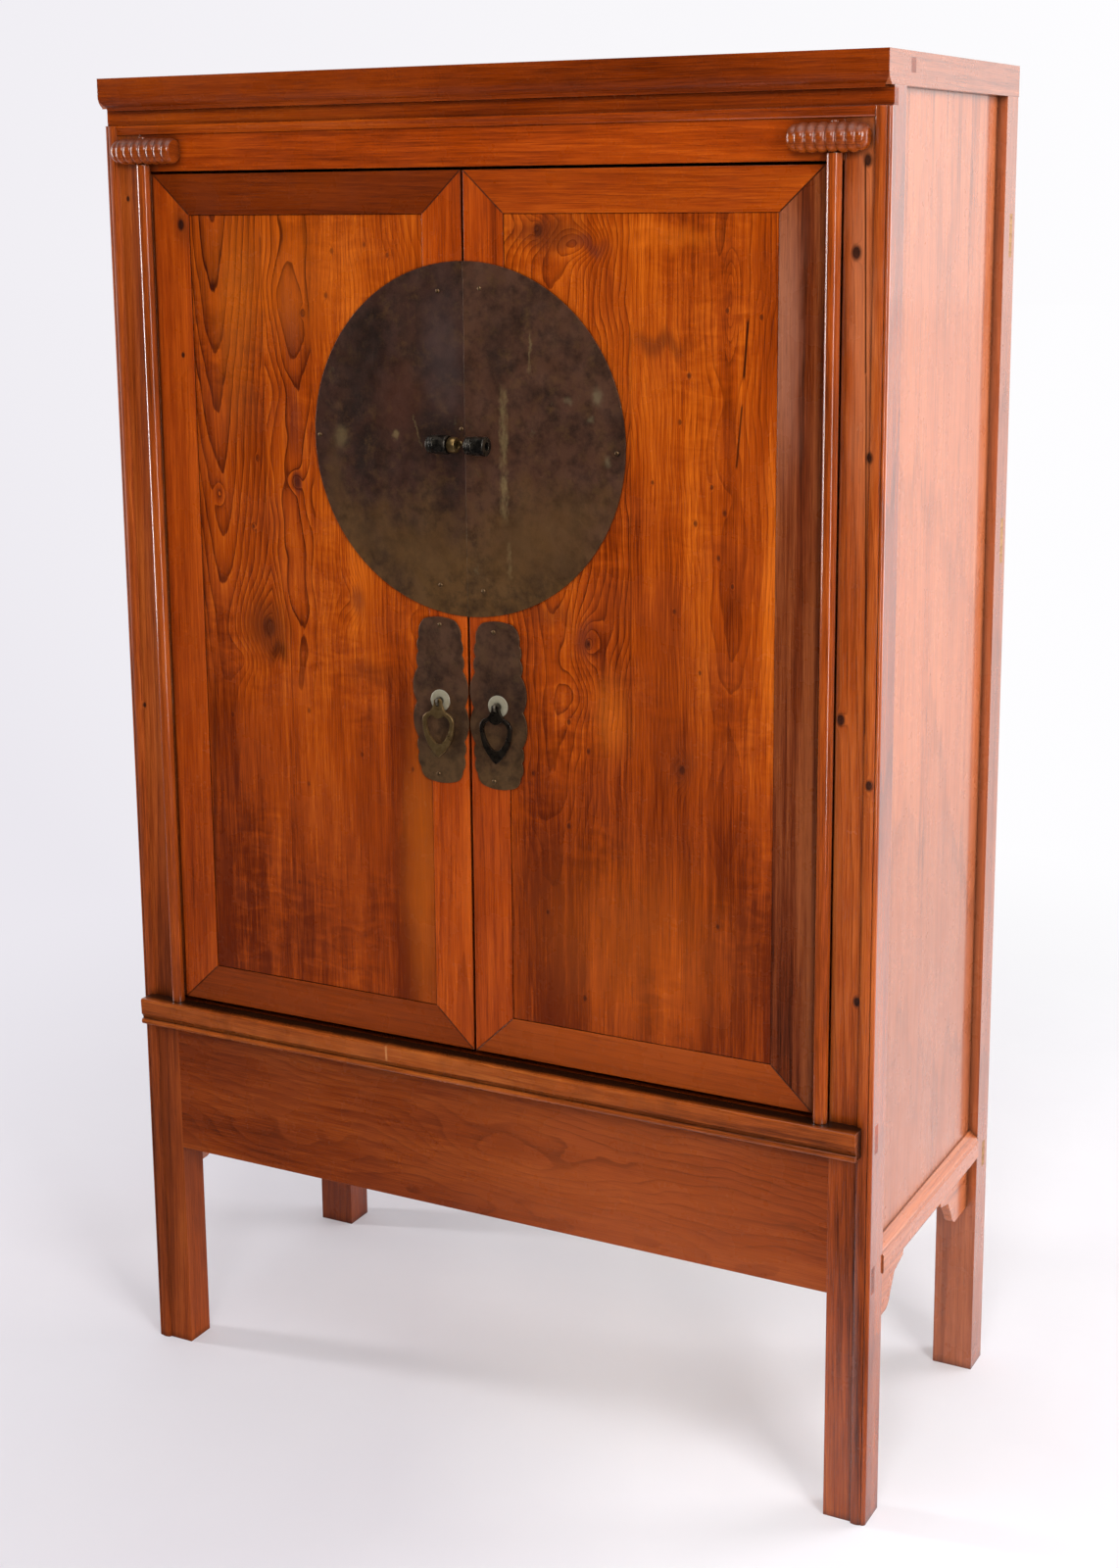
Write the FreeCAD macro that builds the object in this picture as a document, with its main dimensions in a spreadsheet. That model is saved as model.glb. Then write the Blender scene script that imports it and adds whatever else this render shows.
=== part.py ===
"""A tall two-door cabinet, built of framed and tenoned members in real millimetres.

X runs along the front, Y from the front to the back and Z up from the floor.  The
origin lies on the floor, in the middle of the overall box.
"""
import FreeCAD, Part
import math
import os
import re
import Sketcher

VALUES = [
    # Whole carcass
    ("cabinet_width", 1126), ("cabinet_depth", 502), ("cabinet_height", 1850),
    ("post_width", 57.5), ("post_depth", 50), ("field_drop", 3.5),
    ("corner_bead", 5), ("quirk_width", 1.2), ("quirk_depth", 2), ("band_width", 14.5),
    ("band_rise", 3), ("rear_arris", 3), ("cut_overrun", 2),
    # Top frame
    ("top_thickness", 40), ("top_long_width", 105), ("top_short_width", 90),
    ("cornice_reach", 11), ("fascia_height", 20), ("ovolo_height", 18), ("ovolo_depth", 8.5),
    ("lip_depth", 1), ("cornice_drop", 3), ("top_tenon_size", 17),
    ("front_tenon_set", 65), ("rear_tenon_set", 57), ("top_tenon_drop", 7.5),
    ("top_panel_thickness", 13), ("top_panel_drop", 4), ("panel_tongue", 7), ("tongue_thickness", 6),
    ("top_batten_width", 45), ("top_batten_thickness", 18),
    # Neck moulding and frieze
    ("neck_height", 20), ("neck_set", 8.5), ("neck_moulding_height", 12), ("neck_lip", 3),
    ("neck_moulding_depth", 22), ("neck_bevel", 1), ("neck_reveal", 0.8), ("neck_toe", 2),
    ("frieze_height", 49), ("frieze_thickness", 28), ("rail_tenon_length", 30),
    ("rail_tenon_thickness", 11), ("rail_tenon_shoulder", 9),
    # Sill and apron
    ("sill_top", 545), ("sill_height", 38), ("sill_thickness", 40),
    ("sill_reach", 24), ("sill_end_set", 13), ("sill_arris", 3), ("sill_face_height", 20),
    ("sill_face_slope", 1), ("sill_cove", 4.5), ("sill_bead", 8),
    ("apron_bottom", 312), ("apron_thickness", 20), ("apron_tenon_height", 36),
    ("apron_tenon_shoulder", 6),
    # Sides
    ("side_recess", 13), ("side_panel_thickness", 9), ("side_rail_bottom", 322),
    ("side_rail_height", 38), ("side_rail_thickness", 30), ("side_tenon_length", 20),
    ("strip_rise", 3), ("strip_height", 45), ("strip_proud", 2), ("strip_bead", 5),
    ("strip_groove", 2), ("strip_bevel", 8),
    ("bracket_length", 134), ("bracket_height", 70), ("bracket_thickness", 12),
    # Back
    ("back_recess", 8), ("back_rail_thickness", 24), ("upper_rail_drop", 180),
    ("upper_rail_height", 57), ("middle_rail_height", 62), ("lower_rail_bottom", 307),
    ("lower_rail_height", 38), ("back_tenon_thickness", 12), ("back_tenon_shoulder", 6),
    ("back_panel_thickness", 8),
    # Inside
    ("shelf_thickness", 16), ("bearer_size", 22), ("lid_thickness", 12), ("lid_bearer_height", 20),
    ("bearer_ledge", 12), ("centre_bearer_width", 40), ("floor_thickness", 12),
    ("finger_hole_radius", 14), ("finger_hole_set", 70),
    # Doors
    ("seam_shift", -3), ("seam_gap", 4), ("door_thickness", 26), ("door_top_gap", 4),
    ("door_foot_gap", 8), ("stile_width", 57), ("door_rail_width", 54), ("door_panel_recess", 0.8),
    ("door_panel_thickness", 14), ("door_tongue_set", 7), ("panel_shoulder", 1.5),
    ("door_tenon_height", 24), ("batten_width", 38), ("batten_thickness", 10),
    ("lower_batten_rise", 347), ("upper_batten_drop", 302),
    # Pivot poles and hinge blocks
    ("pole_radius", 9.5), ("pole_centre_set", 4), ("pole_gap", 2.5), ("pole_web_front", 2),
    ("pole_web_back", 14), ("pole_tongue", 6), ("pin_radius", 4.5), ("foot_pin_length", 16),
    ("head_pin_proud", 1.5), ("running_gap", 0.3), ("block_radius", 17.5), ("block_groove", 2.2),
    ("block_length", 100), ("block_axis_set", 8), ("block_offset", 6), ("block_rise", 26.5),
    ("block_end_drop", 8), ("block_cut_drop", 1),
    # Brass furniture
    ("plate_thickness", 1.2), ("disc_radius", 229), ("disc_seam_gap", 0.6), ("lug_stand", 19),
    ("lug_radius", 12.5), ("lug_length", 29), ("lug_bore", 5.5), ("lug_bead", 4.5), ("lug_step", 2),
    ("lug_neck_radius", 5), ("lug_collar_radius", 10), ("lug_collar_thickness", 2.5),
    ("lug_tail", 18), ("lug_centre_set", 28), ("lug_drop", 3), ("ring_length", 11),
    ("ring_radius", 10.5), ("ring_neck_radius", 2.5), ("ring_centre_set", 6.5),
    ("pull_set", 43.5), ("pull_gap", 4.5), ("pull_plate_width", 86), ("pull_plate_height", 223),
    ("washer_radius", 14.5), ("washer_thickness", 1), ("eye_radius", 4.1), ("eye_wire", 1.7),
    ("eye_tail", 20), ("bail_thickness", 4.5), ("bail_edge", 1.2), ("bail_width", 47), ("bail_length", 76),
    ("bail_pin_radius", 2.1), ("bail_pin_length", 11), ("bail_head_height", 3.6),
]
FORMULAS = [
    ("half_width", "cabinet_width / 2"),
    ("front_reach", "plate_thickness + lug_stand + lug_radius"),
    ("front", "(front_reach - cabinet_depth) / 2"),
    ("back", "front + cabinet_depth"),
    ("field", "front + field_drop"),
    ("inner_face", "half_width - post_width"),
    ("post_top", "cabinet_height - top_thickness"),
    ("post_rear", "front + post_depth"),
    ("rear_post_front", "back - post_depth"),
    ("neck_top", "post_top - cornice_drop"),
    ("neck_foot", "neck_top - neck_height"),
    ("frieze_top", "neck_foot - neck_moulding_height"),
    ("cornice_face", "front - cornice_reach"),
    ("top_inner_front", "cornice_face + top_long_width"),
    ("top_inner_back", "back - top_long_width"),
    ("top_inner_side", "half_width - top_short_width"),
    ("top_tongue_base", "cabinet_height - top_panel_drop - top_panel_thickness"),
    ("sill_foot", "sill_top - sill_height"),
    ("sill_face", "front - sill_reach"),
    ("panel_face", "half_width - side_recess"),
    ("panel_inside", "panel_face - side_panel_thickness"),
    ("door_foot", "sill_top + door_foot_gap"),
    ("frieze_foot", "frieze_top - frieze_height"),
    ("opening_height", "frieze_foot - sill_top"),
    ("door_head", "frieze_foot - door_top_gap"),
    ("pole_axis", "inner_face - pole_radius"),
    ("door_edge", "pole_axis - pole_radius - pole_gap"),
    ("door_back", "front + door_thickness"),
    ("door_tongue_front", "front + door_tongue_set"),
    ("rail_back", "back - back_recess"),
    ("rail_inside", "rail_back - back_rail_thickness"),
    ("back_panel_back", "rail_back - back_tenon_shoulder"),
    ("upper_rail_centre", "post_top - upper_rail_drop"),
    ("middle_rail_centre", "sill_top + opening_height * middle_rail_share"),
    ("middle_rail_top", "middle_rail_centre + middle_rail_height / 2"),
    ("lid_foot", "sill_top - lid_thickness"),
    ("plate_face", "front - plate_thickness"),
    ("lug_axis", "plate_face - lug_stand"),
    ("pole_line", "front - pole_centre_set"),
    ("block_line", "front - block_axis_set"),
    ("block_centre", "pole_axis - block_offset"),
    ("block_height", "frieze_foot + block_rise"),
    ("block_foot", "block_height - block_radius"),
    ("disc_height", "sill_top + opening_height * disc_height_share"),
    ("lug_height", "disc_height - lug_drop"),
    ("pull_height", "disc_height - disc_radius - pull_gap - pull_plate_height / 2"),
    ("eye_line", "plate_face - washer_thickness - eye_radius - eye_wire - running_gap"),
]
SHARES = [
    ("middle_rail_share", 0.571), ("disc_height_share", 0.707), ("lobe_radius_share", 0.8),
    ("end_lobe_share", 0.78), ("cap_radius_share", 1.2), ("plate_cap_share", 1.6),
    ("scallop_radius_share", 0.92), ("bead_radius_share", 0.6),
]
SIDES = (("left", -1), ("right", 1))
BLOCK_LOBES = 8
SAME_PLACE = 1e-6

document = FreeCAD.newDocument("cabinet")
sizes = document.addObject("Spreadsheet::Sheet", "Sizes")


def fill_sheet():
    row = 0
    for name, content in VALUES + SHARES:
        row += 1
        sizes.set(f"A{row}", name)
        sizes.set(f"B{row}", str(content))
        sizes.setAlias(f"B{row}", name)
    for name, content in FORMULAS:
        row += 1
        sizes.set(f"A{row}", name)
        sizes.set(f"B{row}", "=" + content)
        sizes.setAlias(f"B{row}", name)
    document.recompute()


fill_sheet()
ALIASES = {name for name, content in VALUES + SHARES + FORMULAS}
NODES = {}


def number(expression):
    return float(sizes.evalExpression(expression))


def bind(item, target, expression):
    """Ties one property of an item to the sheet."""
    linked = re.sub(r"[A-Za-z_]+",
                    lambda word: ("Sizes." if word.group() in ALIASES else "") + word.group(), expression)
    item.setExpression(target, linked)


def minus(low, high):
    return f"({high}) - ({low})"


def node(label, item):
    """Names a finished sub-part."""
    item.Label = label
    NODES[label] = item
    return item


def board(label, x_span, y_span, z_span):
    """A planed board between pairs of expressions."""
    item = document.addObject("Part::Box", label)
    for length, axis, span in (("Length", "x", x_span), ("Width", "y", y_span), ("Height", "z", z_span)):
        bind(item, length, minus(*span))
        bind(item, "Placement.Base." + axis, span[0])
    return item


AXIS_TURNS = {"x": ((0, 1, 0), 90), "y": ((1, 0, 0), -90), "z": ((0, 0, 1), 0)}


def turn_to(axis):
    """The rotation that lays an upright round piece along an axis."""
    around, degrees = AXIS_TURNS[axis]
    return FreeCAD.Rotation(FreeCAD.Vector(*around), degrees)


def rod(label, axis, centre, radius, length):
    """A turned rod that grows along an axis from its centre of one end."""
    item = document.addObject("Part::Cylinder", label)
    item.Placement = FreeCAD.Placement(FreeCAD.Vector(), turn_to(axis))
    bind(item, "Radius", radius)
    bind(item, "Height", length)
    for name, expression in zip("xyz", centre):
        bind(item, "Placement.Base." + name, expression)
    return item


def joined(label, items):
    """Glued or integral pieces made one solid."""
    item = document.addObject("Part::MultiFuse", label)
    item.Shapes = items
    item.Refine = True
    return item


def group(label, items):
    """Separate alike pieces that share a name."""
    item = document.addObject("Part::Compound", label)
    item.Links = items
    return item


def common(label, first, second):
    item = document.addObject("Part::Common", label)
    item.Base = first
    item.Tool = second
    return item


def fitted(label, blank, entering):
    """A blank cut by all that enters it."""
    tool = entering[0]
    if len(entering) > 1:
        tool = document.addObject("Part::Compound", label + "_entering")
        tool.Links = entering
    item = document.addObject("Part::Cut", label)
    item.Base = blank
    item.Tool = tool
    item.Refine = True
    return item


def arc_between(first, last, radius, turn):
    """The arc from first to last that bends to the left or the right."""
    middle = (first + last) * 0.5
    chord = last - first
    rise = math.sqrt(max(radius ** 2 - (chord.Length / 2) ** 2, 0))
    normal = FreeCAD.Vector(-chord.y, chord.x, 0).normalize()
    centre = middle + normal * (rise if turn == "left" else -rise)
    start, end = (first, last) if turn == "left" else (last, first)
    angles = [math.atan2(point.y - centre.y, point.x - centre.x) for point in (start, end)]
    circle = Part.Circle(centre, FreeCAD.Vector(0, 0, 1), radius)
    return Part.ArcOfCircle(circle, angles[0], angles[1])


def sketch(body, plane, points, set_off="0"):
    """A closed outline whose every corner and radius is tied to the sheet.

    A point is (x, y) where a straight line follows, and (x, y, radius, turn) where an
    arc that turns left or right follows.
    """
    item = body.newObject("Sketcher::SketchObject", body.Name + "_outline")
    origin_plane = [feature for feature in body.Origin.OriginFeatures if feature.Role == plane][0]
    item.AttachmentSupport = [(origin_plane, "")]
    item.MapMode = "FlatFace"
    bind(item, "AttachmentOffset.Base.z", set_off)
    corners = [FreeCAD.Vector(number(point[0]), number(point[1]), 0) for point in points]
    ends = []
    for index, point in enumerate(points):
        first, last = corners[index], corners[(index + 1) % len(points)]
        if len(point) == 2:
            item.addGeometry(Part.LineSegment(first, last))
            ends.append((1, 2))
        else:
            item.addGeometry(arc_between(first, last, number(point[2]), point[3]))
            ends.append((1, 2) if point[3] == "left" else (2, 1))
    for index, point in enumerate(points):
        before = index - 1 if index else len(points) - 1
        item.addConstraint(Sketcher.Constraint("Coincident", before, ends[before][1], index, ends[index][0]))
        for kind, expression in (("DistanceX", point[0]), ("DistanceY", point[1])):
            value = number(expression)
            made = item.addConstraint(Sketcher.Constraint(kind, -1, 1, index, ends[index][0], value))
            bind(item, f"Constraints[{made}]", expression)
        if len(point) > 2:
            made = item.addConstraint(Sketcher.Constraint("Radius", index, number(point[2])))
            bind(item, f"Constraints[{made}]", point[2])
    return item


def extruded(label, plane, points, low, high):
    """A section swept straight from low to high along its plane's axis."""
    body = document.addObject("PartDesign::Body", label)
    backward = plane == "XZ_Plane"
    outline = sketch(body, plane, points, f"-({low})" if backward else low)
    pad = body.newObject("PartDesign::Pad", body.Name + "_pad")
    pad.Profile = outline
    pad.Reversed = backward
    bind(pad, "Length", minus(low, high))
    outline.Visibility = False
    return body


def turned(label, plane, points, axis):
    """A section turned a full circle about an axis of its sketch."""
    body = document.addObject("PartDesign::Body", label)
    outline = sketch(body, plane, points)
    turn = body.newObject("PartDesign::Revolution", body.Name + "_turn")
    turn.Profile = outline
    turn.ReferenceAxis = (outline, [axis])
    turn.Angle = 360
    return body


def placed(body, base):
    for name, expression in zip("xyz", base):
        bind(body, "Placement.Base." + name, expression)
    return body


def mirrored(side, points):
    """Points of an outline in X, flipped for the left side."""
    if side > 0:
        return points
    flipped = []
    for index, point in enumerate(points):
        bend = points[index - 1][2:] if len(points[index - 1]) > 2 else ()
        turn = (bend[0], bend[1]) if bend else ()
        flipped.append((f"-({point[0]})", point[1]) + turn)
    return flipped[::-1]


def both_halves(half, foot=(), head=()):
    """A closed outline from its right half, listed from the top down.

    The bends foot and head join the halves where they don't meet on the middle line.
    """
    bends = [tuple(point[2:]) for point in half[:-1]]
    right = [point[:2] + bend for point, bend in zip(half, bends + [foot])]
    left = [(f"-({point[0]})", point[1]) + bend for point, bend in zip(half[::-1], bends[::-1] + [head])]
    if half[-1][0] == "0":
        right.pop()
    if half[0][0] == "0":
        left.pop()
    return right + left


def span(side, inner, outer):
    """The interval between two distances from the middle, on one side."""
    return (inner, outer) if side > 0 else (f"-({outer})", f"-({inner})")


def make_top():
    """The mitred top frame with its moulded front, its panel and its batten."""
    profile = [("cornice_face", "cabinet_height"),
               ("cornice_face", "cabinet_height - fascia_height", "ovolo_height", "left"),
               ("cornice_face + ovolo_depth", "cabinet_height - fascia_height - ovolo_height"),
               ("cornice_face + ovolo_depth + lip_depth", "neck_top")]
    moulded = profile + [("front + neck_set", "neck_top"), ("front + neck_set", "post_top"),
                         ("top_inner_front", "post_top"), ("top_inner_front", "cabinet_height")]
    plain = profile[:3] + [("cornice_face + ovolo_depth + lip_depth", "post_top"), ("back", "post_top"),
                           ("back", "cabinet_height")]
    front_plan = [("-half_width", "cornice_face"), ("half_width", "cornice_face"),
                  ("top_inner_side", "top_inner_front"), ("-top_inner_side", "top_inner_front")]
    rear_plan = [("-top_inner_side", "top_inner_back"), ("top_inner_side", "top_inner_back"),
                 ("half_width", "back"), ("-half_width", "back")]
    groove = board("top_panel_tongue", ("-top_inner_side - panel_tongue", "top_inner_side + panel_tongue"),
                   ("top_inner_front - panel_tongue", "top_inner_back + panel_tongue"),
                   ("top_tongue_base", "top_tongue_base + tongue_thickness"))
    field_board = board("top_panel_field", ("-top_inner_side", "top_inner_side"),
                        ("top_inner_front", "top_inner_back"),
                        ("top_tongue_base", "top_tongue_base + top_panel_thickness"))
    panel = node("top_panel", joined("top_panel", [groove, field_board]))
    tenon_drop = ("cabinet_height - top_tenon_drop - top_tenon_size", "cabinet_height - top_tenon_drop")
    tenons = {}
    for end, start in (("front", "front + front_tenon_set"),
                       ("rear", "back - rear_tenon_set - top_tenon_size")):
        tenons[end] = [board(f"top_{end}_tenon_{name}", span(side, "top_inner_side", "half_width"),
                             (start, f"{start} + top_tenon_size"), tenon_drop) for name, side in SIDES]
    batten = board("top_batten_bar", ("-top_batten_width / 2", "top_batten_width / 2"),
                   ("top_inner_front - panel_tongue", "top_inner_back + panel_tongue"),
                   ("top_tongue_base - top_batten_thickness", "top_tongue_base"))
    batten = node("top_batten", batten)
    front_blank = common("top_front_mitred",
                         extruded("top_front_section", "YZ_Plane", moulded, "-half_width", "half_width"),
                         extruded("top_front_plan", "XY_Plane", front_plan, "neck_top", "cabinet_height"))
    front_rail = fitted("top_front_rail", joined("top_front_blank", [front_blank] + tenons["front"]),
                        [panel, batten])
    node("top_front_rail", front_rail)
    rear_blank = extruded("top_rear_plan", "XY_Plane", rear_plan, "post_top", "cabinet_height")
    rear_rail = fitted("top_rear_rail", joined("top_rear_blank", [rear_blank] + tenons["rear"]),
                       [panel, batten])
    node("top_rear_rail", rear_rail)
    for name, side in SIDES:
        plan = mirrored(side, [("half_width", "cornice_face"), ("half_width", "back"),
                               ("top_inner_side", "top_inner_back"), ("top_inner_side", "top_inner_front")])
        blank = common(f"top_{name}_mitred",
                       extruded(f"top_{name}_plan", "XY_Plane", plan, "post_top", "cabinet_height"),
                       extruded(f"top_{name}_section", "YZ_Plane", plain, "-half_width", "half_width"))
        node(f"top_{name}_rail", fitted(f"top_{name}_rail", blank, [front_rail, rear_rail, panel]))


def make_neck():
    """The recessed neck band with the moulding under it, across the fronts of the posts."""
    points = [("front + neck_set", "neck_top"), ("front + neck_set", "neck_foot + neck_bevel"),
              ("front + neck_reveal", "neck_foot"), ("front + neck_reveal", "neck_foot - neck_lip",
                                                     "neck_moulding_height", "right"),
              ("field - neck_toe / 2", "frieze_top + neck_toe"), ("field - neck_toe", "frieze_top"),
              ("front + neck_moulding_depth", "frieze_top"), ("front + neck_moulding_depth", "neck_top")]
    length = extruded("neck_section", "YZ_Plane", points, "-half_width", "half_width")
    bead_line = "half_width - corner_bead - quirk_width"
    mitre_half = [("half_width", "neck_top"), ("half_width", "neck_foot"), (bead_line, "neck_foot"),
                  (f"{bead_line} - band_width", "frieze_top")]
    mitred = extruded("neck_mitres", "XZ_Plane", both_halves(mitre_half), "front - cut_overrun",
                      "front + neck_moulding_depth + cut_overrun")
    return node("neck_moulding", common("neck_moulding", length, mitred))


def cross_member(label, y_span, z_span, tenon_y, tenon_z, reach):
    """A member between the posts with a tenon at each end that reaches out to a distance."""
    body = board(label + "_body", ("-inner_face", "inner_face"), y_span, z_span)
    tenon = board(label + "_tenon", (f"-({reach})", reach), tenon_y, tenon_z)
    return joined(label + "_blank", [body, tenon])


def make_front_members(neck):
    """The frieze rail, the sill rail and the apron between the front posts."""
    shoulder = "field + rail_tenon_shoulder"
    frieze = cross_member("frieze_rail", ("field", "field + frieze_thickness"), ("frieze_foot", "post_top"),
                          (shoulder, f"{shoulder} + rail_tenon_thickness"),
                          ("frieze_foot + rail_tenon_shoulder", "frieze_top"),
                          "inner_face + rail_tenon_length")
    recess = board("neck_recess", ("-half_width - cut_overrun", "half_width + cut_overrun"),
                   ("front - cut_overrun", "front + neck_set"), ("neck_foot", "post_top + cut_overrun"))
    hollows = [rod(f"{name}_pole_hollow", "z",
                   (f"{side} * pole_axis", "pole_line", "frieze_foot - cut_overrun"),
                   "pole_radius + running_gap", "block_foot - frieze_foot + cut_overrun")
               for name, side in SIDES]
    node("frieze_rail", fitted("frieze_rail", frieze, [neck, NODES["top_front_rail"], recess] + hollows))
    sill_tenon = ("field + sill_thickness / 2 - rail_tenon_thickness", "field + sill_thickness / 2")
    sill = cross_member("sill_rail", ("field", "field + sill_thickness"), ("sill_foot", "sill_top"),
                        sill_tenon, ("sill_foot", "sill_top"), "half_width")
    node("sill_rail", sill)
    shoulder = "field + apron_tenon_shoulder"
    tenon_foot = "apron_bottom + apron_tenon_shoulder"
    apron = cross_member("front_apron", ("field", "field + apron_thickness"), ("apron_bottom", "sill_foot"),
                         (shoulder, f"{shoulder} + rail_tenon_thickness"),
                         (tenon_foot, f"{tenon_foot} + apron_tenon_height"), "half_width")
    node("front_apron", apron)
    return recess


def make_sides():
    """The recessed side panels, the rails under them, their mouldings and the brackets below."""
    for name, side in SIDES:
        thickness = span(side, "panel_inside", "panel_face")
        panel = board(f"{name}_side_panel", thickness,
                      ("post_rear - panel_tongue", "rear_post_front + panel_tongue"),
                      ("side_rail_bottom + side_rail_height - panel_tongue", "post_top"))
        node(f"{name}_side_panel", panel)
        rail_body = board(f"{name}_rail_body", span(side, "panel_face - side_rail_thickness", "panel_face"),
                          ("post_rear", "rear_post_front"),
                          ("side_rail_bottom", "side_rail_bottom + side_rail_height"))
        stub = board(f"{name}_rail_stub", span(side, "panel_face - side_rail_thickness + panel_tongue",
                                                "panel_inside - tongue_thickness / 2"),
                     ("post_rear - side_tenon_length", "rear_post_front + side_tenon_length"),
                     ("side_rail_bottom + tongue_thickness",
                      "side_rail_bottom + side_rail_height - panel_tongue - tongue_thickness"))
        rail = fitted(f"{name}_side_rail", joined(f"{name}_rail_blank", [rail_body, stub]), [panel])
        node(f"{name}_side_rail", rail)
        foot = "side_rail_bottom + strip_rise"
        face = "half_width + strip_proud"
        profile = [("panel_face", foot), (f"{face} - strip_groove * 2", foot, "strip_bead", "left"),
                   (f"{face} - strip_groove * 2", f"{foot} + strip_bead"),
                   (f"{face} - strip_groove", f"{foot} + strip_bead"),
                   (face, f"{foot} + strip_bead + strip_groove"),
                   (face, f"{foot} + strip_height - strip_bevel - strip_bead - strip_groove"),
                   (f"{face} - strip_groove", f"{foot} + strip_height - strip_bevel - strip_bead"),
                   (f"{face} - strip_groove",
                    f"{foot} + strip_height - strip_bevel - strip_bead + strip_groove / 2",
                    "strip_bead", "left"),
                   (f"{face} - strip_groove * 2", f"{foot} + strip_height - strip_bevel"),
                   ("panel_face + strip_groove", f"{foot} + strip_height"),
                   ("panel_face", f"{foot} + strip_height")]
        strip = extruded(f"{name}_side_strip", "XZ_Plane", mirrored(side, profile),
                         "post_rear", "rear_post_front")
        node(f"{name}_side_strip", strip)
        node(f"{name}_side_brackets", make_brackets(name, side))


def make_brackets(name, side):
    """The pair of shaped brackets in the corners between a side rail and its posts."""
    along_shares = (0, 0, 0.40, 0.53, 0.63, 0.70, 0.90, 1, 1)
    down_shares = (0, 1, 1, 0.78, 0.5, 0.40, 0.30, 0.12, 0)
    bend_shares = {2: (0.33, 1), 4: (0.125, -1), 6: (0.2, -1)}
    pieces = []
    for end, start, sign in (("front", "post_rear", 1), ("rear", "rear_post_front", -1)):
        points = []
        for index, (along, down) in enumerate(zip(along_shares, down_shares)):
            point = (f"{start} + {sign} * bracket_length * {along}",
                     f"side_rail_bottom - bracket_height * {down}")
            if index in bend_shares:
                radius, bulge = bend_shares[index]
                point += (f"bracket_height * {radius}", "left" if bulge * sign > 0 else "right")
            points.append(point)
        pieces.append(extruded(f"{name}_{end}_bracket", "YZ_Plane", points,
                               *span(side, "panel_face - bracket_thickness", "panel_face")))
    return group(f"{name}_side_brackets", pieces)


def make_back():
    """Three back rails with through tenons and three thin panels grooved between them."""
    rails = {}
    heights = (("upper", "upper_rail_centre - upper_rail_height / 2",
                "upper_rail_centre + upper_rail_height / 2"),
               ("middle", "middle_rail_centre - middle_rail_height / 2", "middle_rail_top"),
               ("lower", "lower_rail_bottom", "lower_rail_bottom + lower_rail_height"))
    depth = ("rail_back - back_tenon_shoulder - back_tenon_thickness", "rail_back - back_tenon_shoulder")
    for name, low, high in heights:
        rails[name] = cross_member(f"back_{name}_rail", ("rail_inside", "rail_back"), (low, high), depth,
                                   (low, high), "half_width")
    panels = []
    bays = (("lower", heights[2][2], heights[1][1]), ("middle", heights[1][2], heights[0][1]),
            ("upper", heights[0][2], "post_top"))
    for name, low, high in bays:
        top = high if high == "post_top" else f"{high} + tongue_thickness"
        panels.append(board(f"back_{name}_panel",
                            ("-inner_face - tongue_thickness", "inner_face + tongue_thickness"),
                            ("back_panel_back - back_panel_thickness", "back_panel_back"),
                            (f"{low} - tongue_thickness", top)))
    node("back_panels", group("back_panels", panels))
    for name, blank in rails.items():
        node(f"back_{name}_rail", fitted(f"back_{name}_rail", blank, panels))


def make_posts(neck, recess):
    """Four posts: the front pair moulded on the outer arris, all cut for what enters them."""
    quirk = "half_width - corner_bead - quirk_width"
    band = f"{quirk} - band_width"
    front_points = [("inner_face", "field"), (band, "field"),
                    (f"{band} + band_rise / 2", "front + band_rise / 6", "band_width", "left"),
                    (quirk, "front + band_rise / 4"), (f"{quirk} + quirk_width / 2", "front + quirk_depth"),
                    ("half_width - corner_bead", "front + band_rise / 4", "corner_bead", "left"),
                    ("half_width", "front + corner_bead"), ("half_width", "post_rear"),
                    ("inner_face", "post_rear")]
    rear_points = [("inner_face", "rear_post_front"), ("half_width", "rear_post_front"),
                   ("half_width", "back - rear_arris", "rear_arris", "left"),
                   ("half_width - rear_arris", "back"), ("inner_face", "back")]
    shared = [NODES["frieze_rail"], NODES["sill_rail"], NODES["front_apron"], NODES["top_front_rail"],
              neck, recess]
    rails = [NODES[f"back_{word}_rail"] for word in ("upper", "middle", "lower")] + [NODES["back_panels"]]
    for name, side in SIDES:
        both = [NODES[f"{name}_side_panel"], NODES[f"{name}_side_rail"]]
        for end, points, entering in (("front", front_points, shared), ("rear", rear_points, rails)):
            blank = extruded(f"{end}_{name}_section", "XY_Plane", mirrored(side, points), "0", "post_top")
            node(f"{end}_{name}_post", fitted(f"{end}_{name}_post", blank, both + entering))


def make_sill_moulding():
    """The moulded ledge planted across the posts, with a socket for each pole."""
    lower = "sill_top - sill_arris - sill_face_height"
    bead = "sill_foot + sill_bead"
    points = [("field", "sill_top"), ("sill_face + sill_arris", "sill_top", "sill_arris", "left"),
              ("sill_face", "sill_top - sill_arris"),
              ("sill_face + sill_face_slope", lower, "sill_cove * 2", "right"),
              ("sill_face + sill_cove", bead), ("sill_face + sill_cove - sill_face_slope * 2", bead,
                                                "sill_bead * bead_radius_share", "left"),
              ("sill_face + sill_cove - sill_face_slope * 2", "sill_foot"), ("field", "sill_foot")]
    blank = extruded("sill_section", "YZ_Plane", points,
                     "-half_width + sill_end_set", "half_width - sill_end_set")
    sockets = [rod(f"{name}_foot_socket", "z",
                   (f"{side} * pole_axis", "pole_line", "sill_top - foot_pin_length - running_gap"),
                   "pin_radius + running_gap", "foot_pin_length + running_gap + cut_overrun")
               for name, side in SIDES]
    entering = sockets + [NODES["front_left_post"], NODES["front_right_post"]]
    node("sill_moulding", fitted("sill_moulding", blank, entering))


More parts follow.
